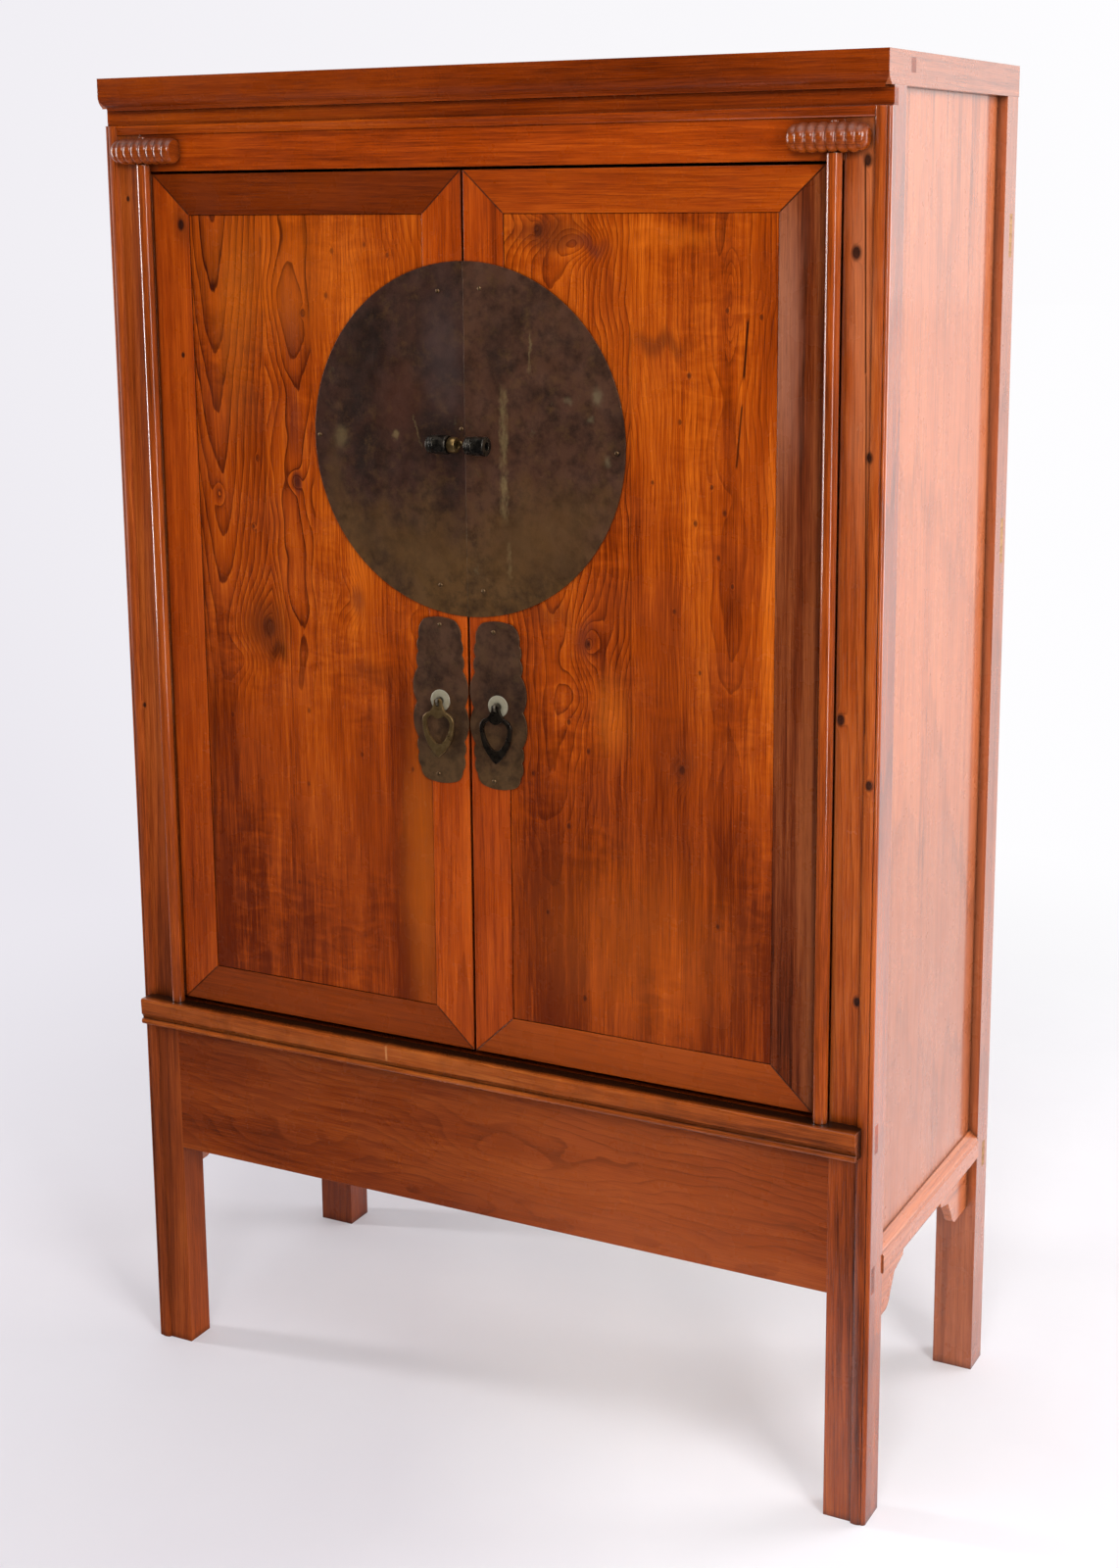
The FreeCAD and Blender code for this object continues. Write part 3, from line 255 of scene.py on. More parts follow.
def ring_lines(graph, grain, radius, ring_width):
    """The place within a ring, and how dark its line is, which differs from year to year."""
    fine_warp = graph.math("MULTIPLY", grain_noise(graph, grain, "fine_warp"), ring_width * 0.35)
    count = graph.math("DIVIDE", graph.math("ADD", radius, fine_warp), ring_width)
    ring = graph.math("FRACT", count)
    year = graph.math("FLOOR", count)
    mood = graph.add("ShaderNodeTexWhiteNoise", {"W": year}, noise_dimensions="1D").outputs[0]
    patchy = graph.rescale(grain_noise(graph, grain, "patches"), 0.35, 0.6, 0.45, 1.0)
    line = graph.math("MULTIPLY", graph.ramp(ring, RING_LINE), graph.rescale(mood, 0.0, 1.0, 0.5, 1.0))
    return ring, graph.math("MULTIPLY", line, patchy)


def spotted(graph, surface, place, stains_and_painted_light):
    """A surface colour with soft spots laid over it, each a centre, spreads, a tint and a strength."""
    for centre, spread, tint, amount in stains_and_painted_light:
        share = graph.math("MULTIPLY", graph.spot(place, centre, spread, SPOT_EDGE), amount)
        surface = graph.mix(share, surface, tint)
    return surface


def wood(name, axis, tones, offset=(0, 0, 0), pith=None, ring_width=0.012, field=None, gloss=0.27,
         lines=0.24, fade_and_shade=None, blotch=0.6, ripple=0.0, coat=0.30, pins=(), pin_tone=0.92, stains_and_painted_light=(),
         marks=(), soot=None, sheen=0.22, streaks=0.12, runs=None, dust_and_shade_on_top=False):
    """Lacquered wood: rings, fibres, pores, uneven stain, worn edges, and dirt with painted shade in the
    corners.

    tones holds the dark line, the body and the light colour. pith is the heart's place across and
    behind the board, or else field gives the rings of a glued panel. pins are knots on the front,
    pin_tone is how dark they are, stains_and_painted_light are soft spots, some of them stains and
    some painted light and shade, and marks are straight joints, cracks or scratches. lines is how
    strong the rings are, blotch and streaks how uneven the stain is, and ripple how strong the waves
    across the grain. fade_and_shade is the height where the rings have sunk to a share, the height
    where they are full, and that share; towards the lower height the wood also grows darker, as
    painted shade. soot is the depth where soot and a painted shadow begin and the depth
    where they are full. runs is the height where dark runs from the top end and the height where
    they begin. dust_and_shade_on_top wood is dull where it faces up, and darker there with dust and
    painted shade.
    """
    graph = Graph(name)
    place = graph.place()
    level = graph.axes(place)["Z"]
    grain = along_grain(graph, place, axis, offset)
    radius, strength = field(graph, place) if field else plain_field(graph, grain, pith)
    if pins:
        knots = graph.total([graph.spot(place, centre, (size, size * 1.5)) for centre, size in pins])
        radius = graph.math("ADD", radius, graph.math("MULTIPLY", knots, ring_width * 1.6))
    ring, line = ring_lines(graph, grain, radius, ring_width)
    fibre = grain_noise(graph, grain, "fibre")
    pores = graph.ramp(grain_noise(graph, grain, "pores"), [(0.30, 1.0), (0.41, 0.0)])
    cloud = grain_noise(graph, grain, "cloud")
    bands = grain_noise(graph, grain, "bands")
    tone = graph.total([graph.rescale(cloud, 0.3, 0.7, 0.5 - blotch / 2, 0.5 + blotch / 2),
                        graph.rescale(fibre, 0.3, 0.7, -0.26, 0.26),
                        graph.rescale(bands, 0.3, 0.7, -streaks, streaks)])
    if runs:
        falls = graph.rescale(grain_noise(graph, grain, "falls"), 0.5, 0.68, 0.0, 0.42)
        falls = graph.math("MULTIPLY", falls, graph.rescale(level, runs[0], runs[1]))
        tone = graph.math("SUBTRACT", tone, falls)
    if fade_and_shade:
        strength = graph.math("MULTIPLY", strength, graph.rescale(level, fade_and_shade[0], fade_and_shade[1], fade_and_shade[2], 1.0))
        # Painted shade: towards the lower height the wood is darker too
        tone = graph.math("SUBTRACT", tone, graph.rescale(level, fade_and_shade[0], fade_and_shade[1], 0.30, 0.0))
    line = graph.math("MULTIPLY", line, strength)
    slow = graph.rescale(ring, 0.0, 0.8, 0.13 * lines, -0.15 * lines)
    tone = graph.math("ADD", tone, graph.math("MULTIPLY", slow, strength))
    if ripple:
        waves = graph.rescale(grain_noise(graph, grain, "waves"), 0.35, 0.7, -ripple, ripple)
        where = graph.rescale(grain_noise(graph, grain, "waved_patches"), 0.45, 0.6)
        tone = graph.math("ADD", tone, graph.math("MULTIPLY", waves, where))
    surface = graph.ramp(tone, [(0.0, tones[0]), (0.45, tones[1]), (1.0, tones[2])])
    # Soft spots laid over the wood: stains, and painted light and shade
    if stains_and_painted_light:
        cause = graph.vector("MULTIPLY", grain, (40, 40, 12))
        surface = spotted(graph, surface, graph.ragged(place, cause, 1.0, 2.0, (0.03, 0, 0.05)), stains_and_painted_light)
    deep = scaled(tones[0], 0.36)
    surface = graph.mix(graph.math("MULTIPLY", line, lines, clamp=True), surface, deep)
    surface = graph.mix(graph.math("MULTIPLY", pores, 0.35), surface, deep)
    if pins:
        surface = graph.mix(graph.rescale(knots, 0.25, 0.7, 0.0, pin_tone), surface, KNOT)
    for start, end, width, tint, amount in marks:
        share = graph.math("MULTIPLY", graph.streak(place, start, end, width), amount)
        surface = graph.mix(share, surface, tint)
    if soot:
        # Soot, and a painted shadow under the doors, on the ledge's top, darkest next to the doors
        depth = graph.axes(graph.ragged(place, place, 30.0, 2.0, (0, 0.008, 0)))["Y"]
        surface = graph.mix(graph.rescale(depth, soot[0], soot[1], 0.0, 0.96), surface, SOOT_AND_SHADOW)
    # Dirt, and painted shade, darkening the corners and creases that the hollows node finds
    surface = graph.mix(graph.rescale(graph.hollows(CORNER_REACH), 0.35, 0.95, 0.75, 0.0), surface, DIRT_AND_SHADE)
    soft_normal, edge = graph.edges(WOOD_EDGE, 6)
    rub = graph.rescale(graph.noise(place, 60, 4, 0.6), 0.45, 0.7)
    worn = graph.math("MULTIPLY", graph.rescale(edge, 0.02, 0.2), rub, clamp=True)
    surface = graph.mix(graph.math("MULTIPLY", worn, 0.5), surface, tones[2])
    rough = graph.rescale(graph.noise(place, 14, 4, 0.6), 0.3, 0.7, gloss - 0.05, gloss + 0.07)
    rough = graph.math("ADD", rough, graph.math("MULTIPLY", pores, 0.10))
    if dust_and_shade_on_top:
        normal = graph.add("ShaderNodeNewGeometry").outputs["Normal"]
        up = graph.rescale(graph.axes(normal)["Z"], 0.15, 0.6)
        # Dust, and painted shade, darkening the faces that look up
        surface = graph.mix(graph.math("MULTIPLY", up, 0.45), surface, DUST_AND_SHADE)
        rough = graph.math("ADD", rough, graph.math("MULTIPLY", up, 0.3), clamp=True)
    waviness = grain_noise(graph, grain, "waviness")
    relief = graph.total([graph.math("MULTIPLY", fibre, 0.14), graph.math("MULTIPLY", pores, -0.14),
                          graph.math("MULTIPLY", line, -0.25), graph.math("MULTIPLY", waviness, 6.0)])
    bump = graph.add("ShaderNodeBump", {"Strength": 0.35, "Distance": 0.0006, "Height": relief,
                                        "Normal": soft_normal})
    shader = graph.add("ShaderNodeBsdfPrincipled", {"Base Color": surface, "Roughness": rough,
                                                    "Normal": bump.outputs[0], "Coat Weight": coat,
                                                    "Specular IOR Level": sheen,
                                                    "Coat Roughness": 0.10, "Coat Normal": soft_normal})
    return graph.finish(shader.outputs[0])


def dress(node, material):
    """Gives a carried-over node a material in each of its slots."""
    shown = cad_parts[node]
    if not shown.material_slots:
        shown.data.materials.append(material)
    for slot in shown.material_slots:
        slot.material = material


# Wood tones: dark line, body, light
FRONT = (colour(86, 26, 1), colour(146, 56, 4), colour(188, 86, 14))
DARK_RAIL = (colour(54, 16, 1), colour(102, 36, 2), colour(136, 54, 6))
RAIL = (colour(90, 28, 1), colour(154, 58, 4), colour(200, 90, 16))
POST = (colour(82, 30, 6), colour(154, 66, 16), colour(200, 104, 40))
PANEL = (colour(96, 30, 1), colour(156, 62, 4), colour(210, 104, 20))
LEDGE = (colour(96, 38, 8), colour(174, 82, 24), colour(214, 122, 52))
APRON = (colour(74, 26, 3), colour(124, 48, 6), colour(160, 76, 22))
# The sides' tones: paler than the front because a painted sheen is mixed in; the darker copy has less of it
SIDE_AND_SHEEN = (colour(120, 54, 26), colour(192, 104, 58), colour(218, 134, 84))
DARK_SIDE_AND_SHEEN = (colour(104, 46, 22), colour(164, 86, 48), colour(192, 112, 70))
CORNICE = (colour(72, 22, 1), colour(124, 46, 3), colour(162, 70, 10))
DARK_STILE = (colour(44, 14, 2), colour(98, 38, 10), colour(140, 72, 34))
RAW = (colour(110, 74, 44), colour(168, 124, 80), colour(198, 158, 112))
CARVED = (colour(54, 18, 2), colour(128, 52, 9), colour(184, 90, 28))
# Tints of dirt, wear and single spots; the soot, dirt and dust tints also carry painted shade, and the bright
# tint painted light
KNOT = colour(34, 16, 12)
SOOT_AND_SHADOW = colour(20, 9, 5)
DIRT_AND_SHADE = colour(30, 10, 4)
DUST_AND_SHADE = colour(60, 24, 8)
SHADE = colour(96, 40, 14)
JOINT = colour(34, 12, 4)
PALE = colour(226, 150, 90)
PURPLE = colour(92, 38, 26)
# Brighter wood, and painted light where its spots are broad
BRIGHT_WOOD_AND_PAINTED_LIGHT = colour(216, 108, 20)


def stepped(graph, value, steps, borders):
    """One number for each board across a panel, changing at the borders between them."""
    parts = [graph.math("MULTIPLY", 1.0, steps[0])]
    for before, after, border in zip(steps, steps[1:], borders):
        beyond = graph.math("GREATER_THAN", value, border)
        parts.append(graph.math("MULTIPLY", beyond, after - before))
    return graph.total(parts)


def mitres(door):
    """The dark joints of a door's frame, each from the frame's corner to the panel's."""
    panel_low, panel_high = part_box(door + "_door_panel")
    inner_low, inner_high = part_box(door + "_door_inner_stile")
    outer_low, outer_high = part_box(door + "_door_outer_stile")
    edges = sorted((inner_low[0], inner_high[0], outer_low[0], outer_high[0]))
    frame_sides = (edges[0], edges[-1])
    frame_levels = (inner_low[2], inner_high[2])
    field_sides = (panel_low[0] + PANEL_TONGUE, panel_high[0] - PANEL_TONGUE)
    field_levels = (panel_low[2] + PANEL_TONGUE, panel_high[2] - PANEL_TONGUE)
    joints = []
    for side in (0, 1):
        for end in (0, 1):
            frame_corner = (frame_sides[side], frame_levels[end])
            field_corner = (field_sides[side], field_levels[end])
            joints.append((frame_corner, field_corner, MITRE_WIDTH, JOINT, 0.9))
    return joints


def panel_field(boards, borders, bumps, along=False):
    """The rings of a panel glued up from boards, and how strongly they show.

    A board has its heart's place and depth, the rings' lean and wander, a shift, a closeness and a
    strength. The boards stand upright, or lie along the front with along.
    """
    def field(graph, place):
        parts = graph.axes(place)
        across, length = (parts["Z"], parts["X"]) if along else (parts["X"], parts["Z"])
        heart, depth, lean, wander, shift, closeness, strength = (
            stepped(graph, across, steps, borders) for steps in zip(*boards))
        reach = graph.vector("LENGTH", graph.join(graph.math("SUBTRACT", across, heart), depth))
        moved = graph.join(graph.math("MULTIPLY", across, 9.0), shift, graph.math("MULTIPLY", length, 5.0))
        warp = graph.math("SUBTRACT", graph.noise(moved, 1, 2, 0.5), 0.5)
        radius = graph.total([reach, graph.math("MULTIPLY", length, lean),
                              graph.math("MULTIPLY", warp, wander), shift])
        for centre, spread, push in bumps:
            swell = graph.math("MULTIPLY", graph.spot(place, centre, spread), push)
            radius = graph.math("ADD", radius, swell)
        return graph.math("MULTIPLY", radius, closeness), strength
    return field


# Boards: heart across, heart depth, lean, wander, shift, closeness, strength. Borders between the
# boards are in X. Bumps in the rings: centre, spread, push. Pins: centre, size
LEFT_BOARDS = [
    (-0.391, 0.022, -0.105, 0.016, 0.003, 1.0, 1.0), (-0.266, 0.016, -0.045, 0.078, 0.1, 1.0, 0.95),
    (-0.02, 0.09, -0.02, 0.05, 0.2, 1.7, 0.45),
]
LEFT_BORDERS = (-0.312, -0.238)
LEFT_BUMPS = [
    ((-0.393, 1.293), (0.009, 0.016), 0.016), ((-0.330, 1.118), (0.048, 0.050), 0.026),
    ((-0.310, 1.085), (0.016, 0.014), 0.014), ((-0.360, 1.062), (0.030, 0.026), -0.018),
    ((-0.179, 1.160), (0.020, 0.030), 0.020),
]
LEFT_PINS = [
    ((-0.200, 1.621), 0.0032), ((-0.150, 1.629), 0.0026), ((-0.115, 1.616), 0.0026),
    ((-0.211, 1.563), 0.0034), ((-0.249, 1.540), 0.0040), ((-0.329, 1.344), 0.0028),
    ((-0.339, 1.250), 0.0030), ((-0.257, 1.000), 0.0026), ((-0.173, 0.947), 0.0026),
    ((-0.385, 0.982), 0.0026), ((-0.261, 0.896), 0.0024), ((-0.093, 0.935), 0.0026),
    ((-0.282, 0.752), 0.0024), ((-0.267, 1.315), 0.0080), ((-0.319, 1.112), 0.0110),
]
RIGHT_BOARDS = [
    (0.125, 0.030, -0.060, 0.060, 0.3, 1.0, 1.0), (0.365, 0.060, -0.018, 0.030, 0.0, 1.6, 0.55),
]
RIGHT_BORDERS = (0.2315,)
RIGHT_BUMPS = [
    ((0.105, 1.650), (0.040, 0.026), 0.030), ((0.165, 1.632), (0.034, 0.018), -0.026),
    ((0.171, 1.133), (0.016, 0.032), 0.024), ((0.150, 1.060), (0.030, 0.030), -0.016),
    ((0.303, 0.978), (0.010, 0.022), 0.016), ((0.365, 1.560), (0.010, 0.060), 0.020),
]
RIGHT_PINS = [
    ((0.361, 1.552), 0.0026), ((0.405, 1.545), 0.0026), ((0.311, 1.473), 0.0030),
    ((0.299, 1.416), 0.0026), ((0.342, 1.338), 0.0024), ((0.320, 1.292), 0.0030),
    ((0.359, 1.307), 0.0026), ((0.351, 1.251), 0.0024), ((0.370, 1.217), 0.0024),
    ((0.171, 0.988), 0.0026), ((0.143, 1.024), 0.0028), ((0.090, 0.950), 0.0026),
    ((0.142, 0.885), 0.0030), ((0.303, 0.978), 0.0045), ((0.171, 1.128), 0.0050),
    ((0.105, 1.648), 0.0070), ((0.110, 0.764), 0.0026), ((0.353, 0.779), 0.0024),
    ((0.164, 0.653), 0.0030), ((0.292, 1.180), 0.0024), ((0.327, 1.105), 0.0022),
    ((0.262, 1.340), 0.0022),
]
APRON_BOARD = [(0.330, 0.050, 0.060, 0.060, 0.2, 1.0, 1.0)]
APRON_BUMPS = [((0.050, 0.400), (0.16, 0.040), 0.050), ((-0.330, 0.350), (0.12, 0.030), 0.030)]
# Marks: start, end, width, tint, strength
LEFT_MARKS = [
    ((-0.312, 1.640), (-0.318, 1.240), 0.0016, JOINT, 0.35),
    ((-0.413, 1.034), (-0.432, 0.614), 0.0040, JOINT, 0.35),
]
RIGHT_MARKS = [
    ((0.388, 1.542), (0.383, 1.470), 0.0022, JOINT, 0.9),
    ((0.381, 1.440), (0.374, 1.362), 0.0018, JOINT, 0.8),
    ((0.2315, 1.535), (0.2315, 0.984), 0.0016, JOINT, 0.30),
]
# Soft spots: centre, spread, tint, strength. Besides stains they hold painted light and shade: the bright
# tint is brighter wood in small spots and painted light in broad ones, over the left panel's top and the
# right panel's lower middle, and the dark brown spot low on the left panel is painted shade
LEFT_STAINS_AND_PAINTED_LIGHT = [
    ((-0.322, 1.112), (0.036, 0.042), SHADE, 0.75), ((-0.306, 1.080), (0.014, 0.012), JOINT, 0.6),
    ((-0.270, 1.530), (0.012, 0.060), PURPLE, 0.55), ((-0.266, 1.400), (0.012, 0.050), PURPLE, 0.45),
    ((-0.262, 1.315), (0.008, 0.014), PURPLE, 0.8), ((-0.179, 1.160), (0.012, 0.020), PURPLE, 0.5),
    ((-0.150, 1.060), (0.040, 0.016), SHADE, 0.4),
    ((-0.16, 0.78), (0.11, 0.16), colour(120, 42, 2), 0.2), ((-0.36, 1.52), (0.030, 0.13), BRIGHT_WOOD_AND_PAINTED_LIGHT, 0.30),
    ((-0.28, 1.59), (0.14, 0.09), BRIGHT_WOOD_AND_PAINTED_LIGHT, 0.25), ((-0.080, 0.80), (0.030, 0.20), BRIGHT_WOOD_AND_PAINTED_LIGHT, 0.35),
]
RIGHT_STAINS_AND_PAINTED_LIGHT = [
    ((0.120, 1.645), (0.05, 0.022), SHADE, 0.75), ((0.170, 1.630), (0.030, 0.010), PURPLE, 0.6),
    ((0.270, 1.510), (0.036, 0.014), SHADE, 0.65), ((0.171, 1.133), (0.012, 0.024), PURPLE, 0.6),
    ((0.120, 1.160), (0.030, 0.016), SHADE, 0.45), ((0.206, 1.040), (0.026, 0.050), BRIGHT_WOOD_AND_PAINTED_LIGHT, 0.40),
    ((0.303, 0.978), (0.016, 0.024), SHADE, 0.5), ((0.190, 1.440), (0.030, 0.080), BRIGHT_WOOD_AND_PAINTED_LIGHT, 0.30),
    ((0.280, 1.640), (0.060, 0.014), BRIGHT_WOOD_AND_PAINTED_LIGHT, 0.35), ((0.240, 0.740), (0.140, 0.120), BRIGHT_WOOD_AND_PAINTED_LIGHT, 0.18),
    ((0.300, 1.060), (0.080, 0.120), SHADE, 0.15),
]
# Soft spots of single members: centre, spread, tint, strength; some are painted light and shade, as marked
SOFT_SPOTS = {
    # Painted sheen, pale on the upper part
    "right_door_outer_stile": [((0.436, 1.520), (0.020, 0.150), colour(176, 120, 96), 0.40)],
    # Painted sheen, pale pink on the upper part
    "front_right_post": [((0.530, 1.56), (0.016, 0.26), colour(226, 140, 94), 0.36)],
    # Painted shade, darker towards the bottom
    "front_left_post": [((-0.535, 0.300), (0.060, 0.320), colour(98, 46, 22), 0.40)],
    "front_apron": [((0.260, 0.400), (0.260, 0.200), colour(184, 90, 40), 0.34)],
    "right_door_bottom_rail": [((0.220, 0.600), (0.260, 0.090), colour(186, 84, 18), 0.40)],
    "left_door_bottom_rail": [((-0.220, 0.600), (0.260, 0.090), colour(166, 70, 10), 0.28)],
    # Painted shade: the side panels darker towards the bottom, with less of their painted sheen there
    "right_side_panel": [((0.550, 0.600), (2.0, 0.300), colour(160, 88, 54), 0.60)],
    "left_side_panel": [((-0.550, 0.600), (2.0, 0.300), colour(160, 88, 54), 0.60)],
    "left_door_outer_stile": [((-0.440, 1.650), (0.012, 0.030), SHADE, 0.6)],
    "sill_moulding": [((0.495, 0.552), (0.010, 0.006), colour(170, 160, 110), 0.6)],
}
# Knots and cracks of single members on the front
KNOTS = {
    "front_right_post": [
        ((0.534, 1.726), 0.0060), ((0.522, 1.621), 0.0068), ((0.543, 1.383), 0.0054),
        ((0.512, 1.063), 0.0060), ((0.551, 0.986), 0.0052), ((0.539, 0.708), 0.0054),
    ],
    "left_door_outer_stile": [((-0.440, 1.655), 0.0060), ((-0.445, 1.480), 0.0030)],
    "front_left_post": [((-0.540, 0.980), 0.0030), ((-0.530, 1.690), 0.0030)],
}
CRACKS = {
    "front_right_post": [
        ((0.531, 1.724), (0.536, 1.480), 0.0016, JOINT, 0.85),
        ((0.5365, 1.480), (0.544, 1.048), 0.0014, JOINT, 0.7),
    ],
    "sill_moulding": [((-0.131, 0.522), (-0.131, 0.545), 0.0022, PALE, 0.8)],
}

# Members: node, axis of the grain, tones, depth of the heart behind the face
MEMBERS = [
    ("top_front_rail", "x", CORNICE, 0.02), ("top_rear_rail", "x", DARK_SIDE_AND_SHEEN, 0.02),
    ("top_left_rail", "y", DARK_SIDE_AND_SHEEN, 0.02), ("top_right_rail", "y", DARK_SIDE_AND_SHEEN, 0.02),
    ("neck_moulding", "x", FRONT, 0.02), ("frieze_rail", "x", RAIL, 0.04),
    ("sill_rail", "x", RAIL, 0.02), ("sill_moulding", "x", LEDGE, 0.02),
    ("front_apron", "x", APRON, 0.09), ("front_left_post", "z", POST, 0.01),
    ("front_right_post", "z", POST, 0.01), ("rear_left_post", "z", APRON, 0.01),
    ("rear_right_post", "z", DARK_SIDE_AND_SHEEN, 0.01), ("left_side_panel", "z", SIDE_AND_SHEEN, 0.05),
    ("right_side_panel", "z", SIDE_AND_SHEEN, 0.05), ("left_side_rail", "y", SIDE_AND_SHEEN, 0.02),
    ("right_side_rail", "y", SIDE_AND_SHEEN, 0.02), ("left_side_strip", "y", SIDE_AND_SHEEN, 0.02),
    ("right_side_strip", "y", SIDE_AND_SHEEN, 0.02), ("left_side_brackets", "y", SIDE_AND_SHEEN, 0.02),
    ("right_side_brackets", "y", SIDE_AND_SHEEN, 0.02), ("top_panel", "x", RAW, 0.05),
    ("top_batten", "y", RAW, 0.02), ("back_upper_rail", "x", RAW, 0.02),
    ("back_middle_rail", "x", RAW, 0.02), ("back_lower_rail", "x", RAW, 0.02),
    ("back_panels", "z", RAW, 0.06), ("middle_shelf", "x", RAW, 0.05),
    ("shelf_bearers", "y", RAW, 0.02), ("chamber_floor", "x", RAW, 0.05),
    ("chamber_bearers", "x", RAW, 0.02), ("left_chamber_lid", "x", RAW, 0.05),
    ("right_chamber_lid", "x", RAW, 0.05), ("left_door_battens", "x", RAW, 0.02),
    ("right_door_battens", "x", RAW, 0.02), ("left_pivot_pole", "z", POST, 0.01),
    ("right_pivot_pole", "z", POST, 0.01), ("left_door_outer_stile", "z", RAIL, 0.02),
    ("left_door_inner_stile", "z", RAIL, 0.02), ("left_door_top_rail", "x", DARK_RAIL, 0.02),
    ("left_door_bottom_rail", "x", APRON, 0.02), ("right_door_outer_stile", "z", DARK_STILE, 0.02),
    ("right_door_inner_stile", "z", RAIL, 0.02), ("right_door_top_rail", "x", FRONT, 0.02),
    ("right_door_bottom_rail", "x", APRON, 0.02), ("left_hinge_block", "x", CARVED, 0.01),
    ("right_hinge_block", "x", CARVED, 0.01),
]

# What differs from plain lacquered wood, by tones and then by node
SIDE_LOOKS = dict(coat=0.6, blotch=0.16, sheen=0.5, streaks=0.17)
POLE_LOOKS = dict(coat=1.0, gloss=0.16, lines=0.2)
SIDE_RUNS = dict(runs=(1.45, 1.80))
TONE_LOOKS = {
    RAW: dict(gloss=0.62, lines=0.5, coat=0.0),
    CARVED: dict(gloss=0.16, blotch=0.3, coat=0.0, sheen=0.6, dust_and_shade_on_top=True),
    SIDE_AND_SHEEN: SIDE_LOOKS,
    DARK_SIDE_AND_SHEEN: SIDE_LOOKS,
    DARK_STILE: dict(streaks=0.35),
    POST: dict(lines=0.34, coat=0.6),
}
NODE_LOOKS = {
    "left_side_panel": SIDE_RUNS,
    "right_side_panel": SIDE_RUNS,
    "front_left_post": dict(coat=0.0, sheen=0.12, gloss=0.42),
    "front_right_post": dict(coat=1.0, sheen=0.4, gloss=0.22),
    "left_pivot_pole": POLE_LOOKS,
    "right_pivot_pole": POLE_LOOKS,
    "front_apron": dict(field=panel_field(APRON_BOARD, (), APRON_BUMPS, along=True), ring_width=0.011,
                        lines=0.34),
}
PANEL_LOOKS = {
    "left": dict(field=panel_field(LEFT_BOARDS, LEFT_BORDERS, LEFT_BUMPS), ring_width=0.0092, lines=1.1,
                 fade_and_shade=(0.98, 1.16, 0.10), pins=LEFT_PINS, pin_tone=0.5, marks=LEFT_MARKS, stains_and_painted_light=LEFT_STAINS_AND_PAINTED_LIGHT),
    "right": dict(field=panel_field(RIGHT_BOARDS, RIGHT_BORDERS, RIGHT_BUMPS), ring_width=0.0075, lines=0.8,
                  fade_and_shade=(0.80, 1.10, 0.25), pins=RIGHT_PINS, pin_tone=0.65, marks=RIGHT_MARKS,
                  stains_and_painted_light=RIGHT_STAINS_AND_PAINTED_LIGHT),
}


def dress_wood():
    """Lays the grain of each member along its length, from a different part of the tree for each."""
    for index, (node, axis, tones, depth) in enumerate(MEMBERS):
        offset = tuple(step * index for step in TREE_STEP)
        pith = (offset[0] + HEART_ASIDE[index % 2], depth)
        looks = dict(TONE_LOOKS.get(tones, {}))
        if axis == "x" and tones is not RAW:
            looks.update(streaks=0.05)
        looks.update(NODE_LOOKS.get(node, {}))
        marks = list(CRACKS.get(node, ()))
        if "stile" in node or "door_top_rail" in node or "door_bottom_rail" in node:
            marks = mitres(node.split("_")[0]) + marks
        if node == "sill_moulding":
            door_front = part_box("left_door_bottom_rail")[0][1]
            # Soot and a painted shadow on the ledge's top below the doors
            looks.update(soot=(door_front - SOOT_AND_SHADOW_BEGUN, door_front - SOOT_AND_SHADOW_FULL))
        dress(node, wood(node + "_wood", axis, tones, offset, pith, pins=KNOTS.get(node, ()), marks=marks,
                         stains_and_painted_light=SOFT_SPOTS.get(node, ()), **looks))
    for side, looks in PANEL_LOOKS.items():
        dress(side + "_door_panel", wood(side + "_panel_wood", "z", PANEL, gloss=0.25, blotch=0.7,
                                         ripple=0.11, **looks))


def metal(graph, base, rough, metallic, relief, depth, normal):
    """Ends a metal's graph with its bump and shader."""
    bump = graph.add("ShaderNodeBump", {"Strength": 0.3, "Distance": depth, "Height": relief,
                                        "Normal": normal})
    shader = graph.add("ShaderNodeBsdfPrincipled", {"Base Color": base, "Roughness": rough,
                                                    "Metallic": metallic, "Normal": bump.outputs[0]})
    return graph.finish(shader.outputs[0])


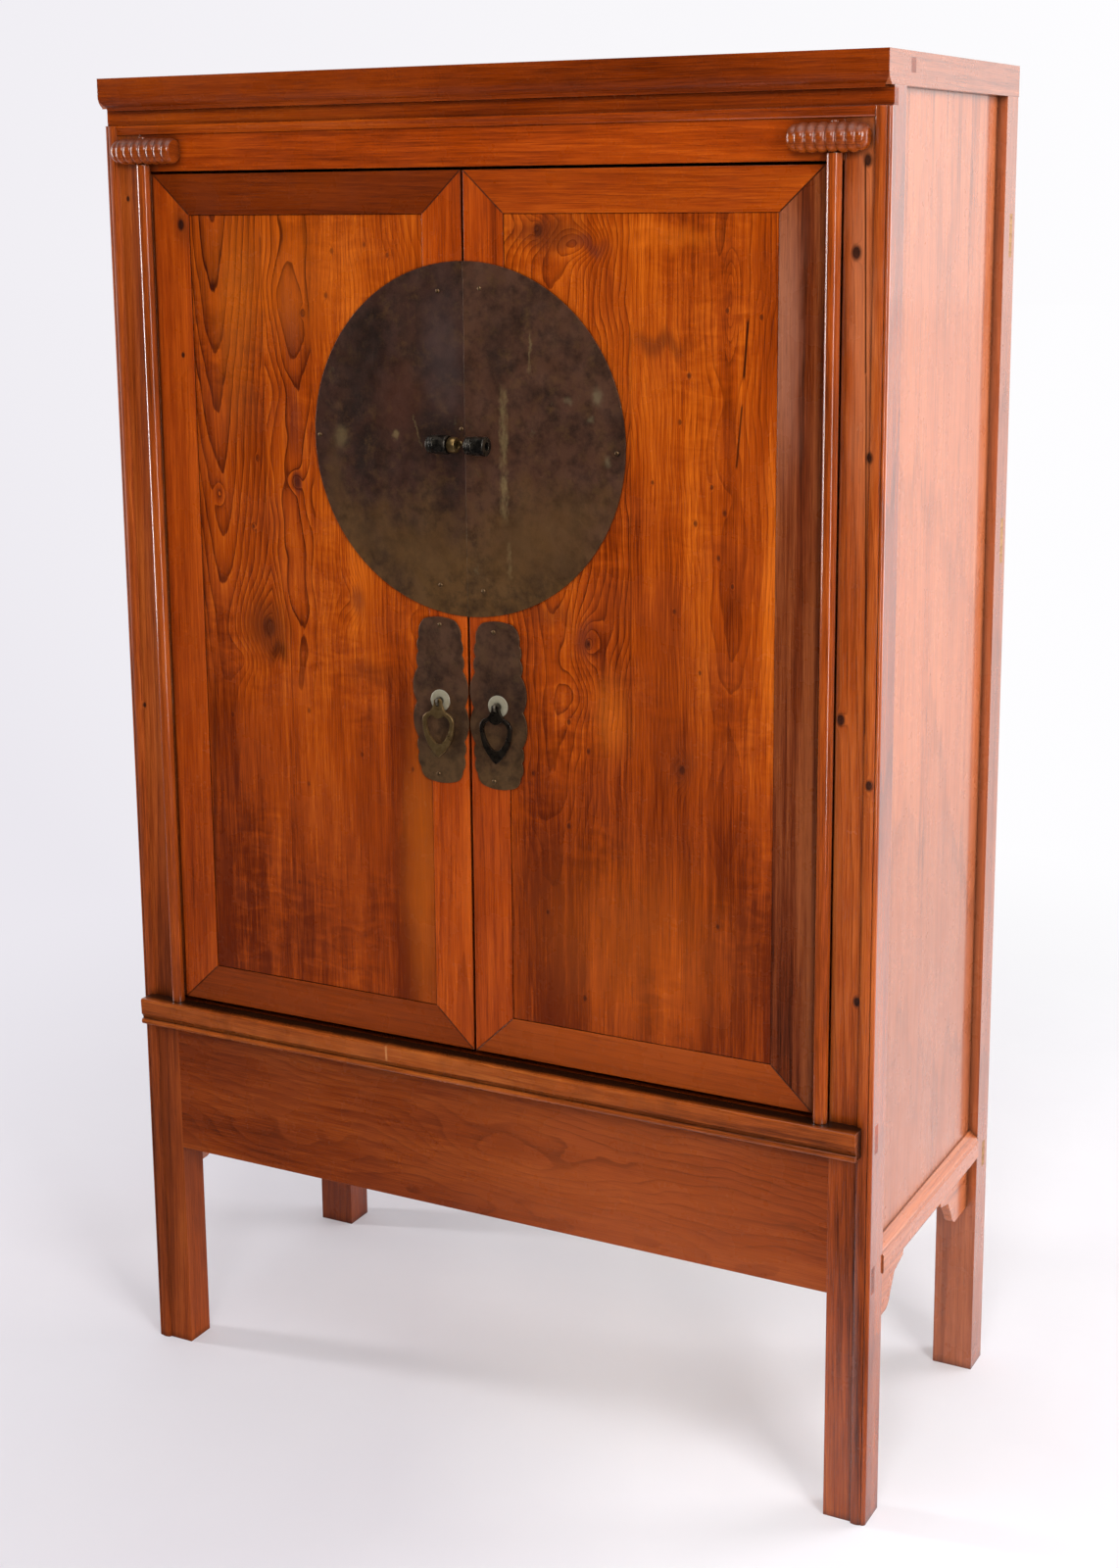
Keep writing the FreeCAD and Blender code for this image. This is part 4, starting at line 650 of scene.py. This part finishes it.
def patina(name, high, low, bottom, top, marks=(), stains_and_painted_light=(), rubbed_and_highlight=0.6):
    """Old brass: brown above, olive below, blotched, with verdigris, rubbed spots, and pale rubbed edges that
    are partly a painted highlight.
    """
    graph = Graph(name)
    place = graph.place()
    level = graph.axes(place)["Z"]
    cloud = graph.noise(place, 9, 6, 0.62, 0.4)
    share = graph.math("ADD", graph.rescale(level, bottom, top), graph.rescale(cloud, 0.3, 0.7, -0.35, 0.35))
    base = graph.ramp(share, [(0.2, low), (0.7, high)])
    drips = graph.noise(graph.vector("MULTIPLY", place, (34, 34, 5)), 1, 4, 0.6)
    drips = graph.math("MULTIPLY", graph.rescale(drips, 0.5, 0.75, 0.0, 0.6),
                       graph.rescale(level, bottom, top, 1.0, 0.2))
    base = graph.mix(drips, base, scaled(low, 1.3))
    mottle = graph.noise(place, 60, 5, 0.65)
    fine = graph.noise(place, 420, 3, 0.6)
    # Blotches one over another: the noise, where it begins and is full, its strength and tint
    blotches = [(graph.noise(place, 16, 5, 0.7), 0.48, 0.66, 0.7, colour(38, 25, 20)),
                (mottle, 0.45, 0.72, 0.65, colour(34, 22, 14)),
                (graph.noise(place, 38, 5, 0.7), 0.52, 0.72, 0.55, low),
                (fine, 0.55, 0.8, 0.25, colour(124, 96, 66))]
    for noise, begun, full, amount, tint in blotches:
        base = graph.mix(graph.rescale(noise, begun, full, 0.0, amount), base, tint)
    spots = graph.ramp(graph.noise(place, 26, 4, 0.75), [(0.66, 0.0), (0.74, 1.0)])
    base = graph.mix(graph.math("MULTIPLY", spots, 0.25), base, colour(126, 118, 86))
    frayed = graph.ragged(place, place, 110.0, 4.0, (0.012, 0, 0.012))
    base = spotted(graph, base, frayed, stains_and_painted_light)
    broken = graph.noise(graph.vector("MULTIPLY", place, (160, 160, 60)), 1, 4, 0.7)
    broken = graph.rescale(broken, 0.36, 0.58, 0.15, 1.0)
    for start, end, width, tint, amount in marks:
        streak = graph.math("MULTIPLY", graph.streak(frayed, start, end, width), broken)
        base = graph.mix(graph.math("MULTIPLY", streak, amount), base, tint)
    soft_normal, edge = graph.edges(PLATE_EDGE, 4)
    # Rubbed brass along the edges, partly a painted highlight there
    base = graph.mix(graph.rescale(edge, 0.02, 0.3, 0.0, rubbed_and_highlight), base, colour(150, 122, 84))
    rough = graph.rescale(graph.noise(place, 34, 5, 0.6), 0.3, 0.7, 0.32, 0.52)
    scratches = graph.noise(graph.vector("MULTIPLY", place, (900, 900, 30)), 1, 2, 0.5)
    relief = graph.total([graph.math("MULTIPLY", cloud, 3.0), graph.math("MULTIPLY", mottle, 0.8),
                          graph.math("MULTIPLY", scratches, 0.3), graph.math("MULTIPLY", fine, 0.2)])
    return metal(graph, base, rough, 0.55, relief, 0.0008, soft_normal)


def worn_metal(name, body, rubbed_and_highlight, metallic, gloss, hollow_reach=0.006, wear=0.8, softness=0.0012, eye=None):
    """Cast or forged metal, dark in its hollows and bright where hands rub it; its rubbed colour at the edges
    is partly a painted highlight.

    eye is the middle and the front of a washer that carries a darker pin.
    """
    graph = Graph(name)
    place = graph.place()
    cloud = graph.noise(place, 110, 4, 0.55)
    soft_normal, edge = graph.edges(softness, 6)
    base = graph.mix(graph.rescale(cloud, 0.4, 0.75, 0.0, 0.3), body, rubbed_and_highlight)
    # Rubbed metal along the edges, partly a painted highlight there
    base = graph.mix(graph.rescale(edge, 0.02, 0.25, 0.0, wear), base, rubbed_and_highlight)
    if eye:
        middle, front = eye
        away = graph.vector("MULTIPLY", graph.vector("SUBTRACT", place, middle), (1, 0, 1))
        core = graph.rescale(graph.vector("LENGTH", away), PIN_CORE, PIN_EDGE, 1.0, 0.0)
        proud = graph.rescale(graph.axes(place)["Y"], front - PIN_FADE, front, 1.0, 0.0)
        pin = graph.math("MAXIMUM", core, proud)
        base = graph.mix(graph.math("MULTIPLY", pin, 0.9), base, colour(58, 48, 36))
    hollow = graph.rescale(graph.hollows(hollow_reach), 0.2, 0.9, 0.7, 0.0)
    base = graph.mix(hollow, base, colour(16, 12, 8))
    rough = graph.rescale(cloud, 0.3, 0.7, gloss - 0.06, gloss + 0.14)
    return metal(graph, base, rough, metallic, cloud, 0.0004, soft_normal)


# Tints of the metal
PLATE_BROWNS = {"left": colour(78, 48, 37), "right": colour(98, 63, 46)}
OLIVE = colour(114, 80, 44)
BRIGHT = colour(158, 136, 90)
VERDIGRIS = colour(138, 124, 92)
BLACKENED = colour(18, 12, 10)
# A painted sheen, violet grey
PAINTED_VIOLET_SHEEN = colour(92, 74, 72)
RUSSET = colour(104, 58, 40)
# Spots of the round plate: centre, spread, tint, strength; the violet one is a painted sheen
LOCK_STAINS_AND_SHEEN = {
    "left": [
        ((-0.107, 1.385), (0.004, 0.006), BRIGHT, 0.6), ((-0.192, 1.379), (0.010, 0.014), BRIGHT, 0.35),
        ((-0.150, 1.250), (0.070, 0.030), OLIVE, 0.35), ((-0.060, 1.230), (0.055, 0.035), OLIVE, 0.6),
        ((-0.205, 1.330), (0.012, 0.045), OLIVE, 0.4), ((-0.150, 1.480), (0.040, 0.060), BLACKENED, 0.45),
        ((-0.035, 1.490), (0.030, 0.080), PAINTED_VIOLET_SHEEN, 0.45),
        ((-0.100, 1.430), (0.035, 0.050), RUSSET, 0.45),
    ],
    "right": [
        ((0.187, 1.443), (0.007, 0.009), VERDIGRIS, 0.55), ((0.178, 1.414), (0.005, 0.004), VERDIGRIS, 0.45),
        ((0.146, 1.437), (0.006, 0.005), VERDIGRIS, 0.35), ((0.201, 1.363), (0.005, 0.006), VERDIGRIS, 0.5),
        ((0.216, 1.374), (0.0030, 0.0034), BLACKENED, 0.95), ((0.120, 1.260), (0.055, 0.050), OLIVE, 0.65),
        ((0.060, 1.240), (0.040, 0.050), OLIVE, 0.6), ((0.160, 1.300), (0.040, 0.030), OLIVE, 0.25),
        ((0.045, 1.500), (0.014, 0.060), BLACKENED, 0.3),
    ],
}
# Its drips and scratches: start, end, width, tint, strength
LOCK_MARKS = {
    "left": [((-0.080, 1.410), (-0.068, 1.370), 0.0018, BRIGHT, 0.35)],
    "right": [
        ((0.054, 1.450), (0.053, 1.280), 0.0075, BRIGHT, 0.55),
        ((0.094, 1.520), (0.091, 1.470), 0.0020, BRIGHT, 0.4),
        ((0.060, 1.250), (0.060, 1.205), 0.0045, BRIGHT, 0.4),
    ],
}


def dress_metal():
    """Dresses the round plate's halves, the pulls, the lugs and the ring between them."""
    for side in ("left", "right"):
        dress(side + "_lock_plate", patina(side + "_lock_plate_brass", PLATE_BROWNS[side], OLIVE, 1.14, 1.42,
                                           marks=LOCK_MARKS[side], stains_and_painted_light=LOCK_STAINS_AND_SHEEN[side], rubbed_and_highlight=0.15))
        dress(side + "_pull_plate", patina(side + "_pull_plate_brass", colour(100, 68, 49),
                                           colour(108, 79, 49), 0.90, 1.12))
        dress(side + "_lock_lug", worn_metal(side + "_lug_iron", colour(30, 27, 24), colour(120, 110, 94),
                                             metallic=0.7, gloss=0.24))
        low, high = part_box(side + "_pull_eye")
        middle = ((low[0] + high[0]) / 2, 0, high[2] - WASHER_RADIUS)
        washer_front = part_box(side + "_pull_plate")[0][1] - WASHER_THICKNESS - PIN_RISE
        dress(side + "_pull_eye", worn_metal(side + "_eye_metal", colour(164, 156, 132),
                                             colour(206, 200, 180), metallic=0.35, gloss=0.36,
                                             eye=(middle, washer_front)))
    dress("seam_lock_ring", worn_metal("seam_ring_brass", colour(120, 96, 58), colour(196, 168, 116),
                                       metallic=0.9, gloss=0.3))
    dress("left_bail", worn_metal("left_bail_brass", colour(113, 88, 53), colour(184, 156, 104),
                                  metallic=0.75, gloss=0.30, hollow_reach=0.002, wear=0.0, softness=0.0003))
    dress("right_bail", worn_metal("right_bail_brass", colour(40, 33, 27), colour(88, 76, 60),
                                   metallic=0.8, gloss=0.26, hollow_reach=0.002, wear=0.0, softness=0.0003))


# Nails in X and Z, of the round plate and of the pull plates
DISC_NAILS = [(-0.008, 1.396), (-0.040, 1.571), (0.021, 1.575), (-0.0435, 1.190), (0.021, 1.1865),
              (-0.225, 1.380), (0.214, 1.374)]
PULL_NAILS = [(-0.046, 1.137), (-0.052, 0.934), (0.035, 1.133), (0.033, 0.933)]


def nail_mesh(name, places, front):
    """Low domed nail heads, one for each place on the front."""
    mesh = bpy.data.meshes.new(name)
    shape = bmesh.new()
    for x, z in places:
        made = bmesh.ops.create_uvsphere(shape, u_segments=20, v_segments=10, radius=NAIL_RADIUS)
        for vertex in made["verts"]:
            place = vertex.co
            vertex.co = Vector((x + place.x, front + place.y * NAIL_RISE / NAIL_RADIUS, z + place.z))
    shape.to_mesh(mesh)
    shape.free()
    for polygon in mesh.polygons:
        polygon.use_smooth = True
    made = bpy.data.objects.new(name, mesh)
    bpy.context.scene.collection.objects.link(made)
    return made


def make_nails():
    """The round nails of the lock plate and the pull plates."""
    plate_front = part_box("left_lock_plate")[0][1]
    for side, sign in (("left", -1), ("right", 1)):
        places = [place for place in DISC_NAILS + PULL_NAILS if place[0] * sign > 0]
        nails = nail_mesh(side + "_nails", places, plate_front)
        nails.data.materials.append(worn_metal(side + "_nail_copper", colour(104, 78, 52),
                                               colour(180, 150, 110), metallic=0.85, gloss=0.35))
        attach(nails, side + "_door")


def make_floor():
    """A pale floor that turns white far off, where the photograph's backdrop does."""
    mesh = bpy.data.meshes.new("floor")
    corners = [(-FLOOR_HALF, -FLOOR_HALF, 0), (FLOOR_HALF, -FLOOR_HALF, 0),
               (FLOOR_HALF, FLOOR_HALF, 0), (-FLOOR_HALF, FLOOR_HALF, 0)]
    mesh.from_pydata(corners, [], [(0, 1, 2, 3)])
    floor = bpy.data.objects.new("floor", mesh)
    bpy.context.scene.collection.objects.link(floor)
    graph = Graph("floor_paper")
    place = graph.place()
    parts = graph.axes(place)
    reach = graph.math("MAXIMUM", graph.vector("LENGTH", place), 0.5)
    sideways = graph.math("ADD", parts["X"], graph.math("MULTIPLY", parts["Y"], 0.5))
    left = graph.rescale(graph.math("DIVIDE", sideways, reach), GREY_END, WHITE_END, 1.0, 0.0)
    mottle = graph.rescale(graph.noise(place, 3.0, 3, 0.5), 0.3, 0.7)
    tone = graph.mix(mottle, (0.86, 0.845, 0.90, 1), (0.89, 0.88, 0.925, 1))
    # Painted shade: the paper darker towards the left
    tone = graph.mix(graph.math("MULTIPLY", left, 0.35), tone, (0.50, 0.48, 0.53, 1))
    fine_creases = graph.math("MULTIPLY", graph.noise(place, 9.0, 2, 0.5), 0.2)
    creases = graph.math("ADD", graph.noise(place, 2.2, 3, 0.5), fine_creases)
    bump = graph.add("ShaderNodeBump", {"Strength": 0.25, "Distance": 0.03, "Height": creases})
    paper = graph.add("ShaderNodeBsdfDiffuse", {"Color": tone, "Normal": bump.outputs[0]})
    # Far off, the camera and the gloss of the object see the backdrop's own light, greyer to the left as
    # painted shade; near the object a little of this glow still shows, painted light that lightens the
    # object's shadow
    glow = graph.add("ShaderNodeEmission", {"Color": graph.mix(left, FAR_WHITE, FAR_SHADED_GREY), "Strength": 1.0})
    distance = graph.vector("LENGTH", graph.vector("MULTIPLY", place, (1, 0.8, 1)))
    far = graph.rescale(distance, 0.5, 2.3, 0.22, 1.0, smooth=True)
    rays = graph.add("ShaderNodeLightPath").outputs
    behind = graph.rescale(parts["Y"], -0.3, 0.6)
    seen = graph.math("MAXIMUM", rays["Is Camera Ray"], graph.math("MULTIPLY", rays["Is Glossy Ray"], behind))
    share = graph.math("MULTIPLY", far, seen)
    backdrop = graph.add("ShaderNodeMixShader", {0: share, 1: paper.outputs[0], 2: glow.outputs[0]})
    # In front, past the paper's end, gloss sees a dark room
    paper_end = graph.rescale(distance, 0.3, 0.9, smooth=True)
    unlit = graph.math("MULTIPLY", graph.math("MULTIPLY", rays["Is Glossy Ray"], paper_end),
                       graph.math("SUBTRACT", 1.0, behind))
    dark = graph.add("ShaderNodeBsdfDiffuse", {"Color": (0.05, 0.05, 0.055, 1)})
    surface = graph.add("ShaderNodeMixShader", {0: unlit, 1: backdrop.outputs[0], 2: dark.outputs[0]})
    floor.data.materials.append(graph.finish(surface.outputs[0]))


def make_world():
    """White where the camera looks, greyer to the left as painted shade, pale behind the object for gloss,
    dim in front of it.
    """
    world = bpy.data.worlds.new("studio")
    bpy.context.scene.world = world
    graph = Graph("studio", world)
    parts = graph.axes(graph.add("ShaderNodeTexCoord").outputs["Generated"])
    toward_back = parts["Y"]
    sideways = graph.math("ADD", parts["X"], graph.math("MULTIPLY", toward_back, 0.5))
    # Painted shade: the backdrop greyer towards the left
    backdrop = graph.mix(graph.rescale(sideways, GREY_END, WHITE_END, 1.0, 0.0), FAR_WHITE, FAR_SHADED_GREY)
    rays = graph.add("ShaderNodeLightPath").outputs
    light = graph.rescale(toward_back, -0.10, 0.45, 0.03, 0.80)
    shine = graph.rescale(toward_back, -0.10, 0.45, 0.02, 1.25)
    matt = graph.math("SUBTRACT", 1.0, rays["Is Glossy Ray"])
    level = graph.total([graph.math("MULTIPLY", light, matt),
                         graph.math("MULTIPLY", shine, rays["Is Glossy Ray"])])
    ambient = graph.add("ShaderNodeCombineColor", {0: level, 1: level, 2: level}).outputs[0]
    seen = graph.math("MAXIMUM", rays["Is Camera Ray"], rays["Is Transmission Ray"])
    shader = graph.add("ShaderNodeBackground", {"Color": graph.mix(seen, ambient, backdrop), "Strength": 1.0})
    graph.add("ShaderNodeOutputWorld", {"Surface": shader.outputs[0]})


def make_lights():
    """Soft boxes that the camera doesn't see."""
    for name, place, target, width, height, power, tint in LAMPS:
        lamp = bpy.data.lights.new(name, "AREA")
        lamp.shape = "RECTANGLE"
        lamp.size = width
        lamp.size_y = height
        lamp.energy = power
        lamp.color = tint
        made = bpy.data.objects.new(name, lamp)
        bpy.context.scene.collection.objects.link(made)
        made.location = place
        made.rotation_euler = (Vector(target) - Vector(place)).to_track_quat("-Z", "Y").to_euler()
        made.visible_camera = False


def make_camera():
    """The photograph's view: a long lens, a little down, a little rolled, with the back shifted."""
    data = bpy.data.cameras.new("camera")
    data.sensor_width = SENSOR
    data.lens = FOCAL_PIXELS / PHOTO_HEIGHT * SENSOR
    data.shift_x = CENTRE_RIGHT / PHOTO_HEIGHT
    data.shift_y = CENTRE_UP / PHOTO_HEIGHT
    camera = bpy.data.objects.new("camera", data)
    bpy.context.scene.collection.objects.link(camera)
    turn = (Matrix.Rotation(math.radians(CAMERA_YAW), 4, "Z")
            @ Matrix.Rotation(math.radians(90 - CAMERA_DOWN), 4, "X")
            @ Matrix.Rotation(math.radians(CAMERA_ROLL), 4, "Z"))
    camera.matrix_world = Matrix.Translation(CAMERA_PLACE) @ turn
    bpy.context.scene.camera = camera


dress_wood()
dress_metal()
make_nails()
make_floor()
make_world()
make_lights()
make_camera()
bpy.context.scene.view_settings.view_transform = "Standard"
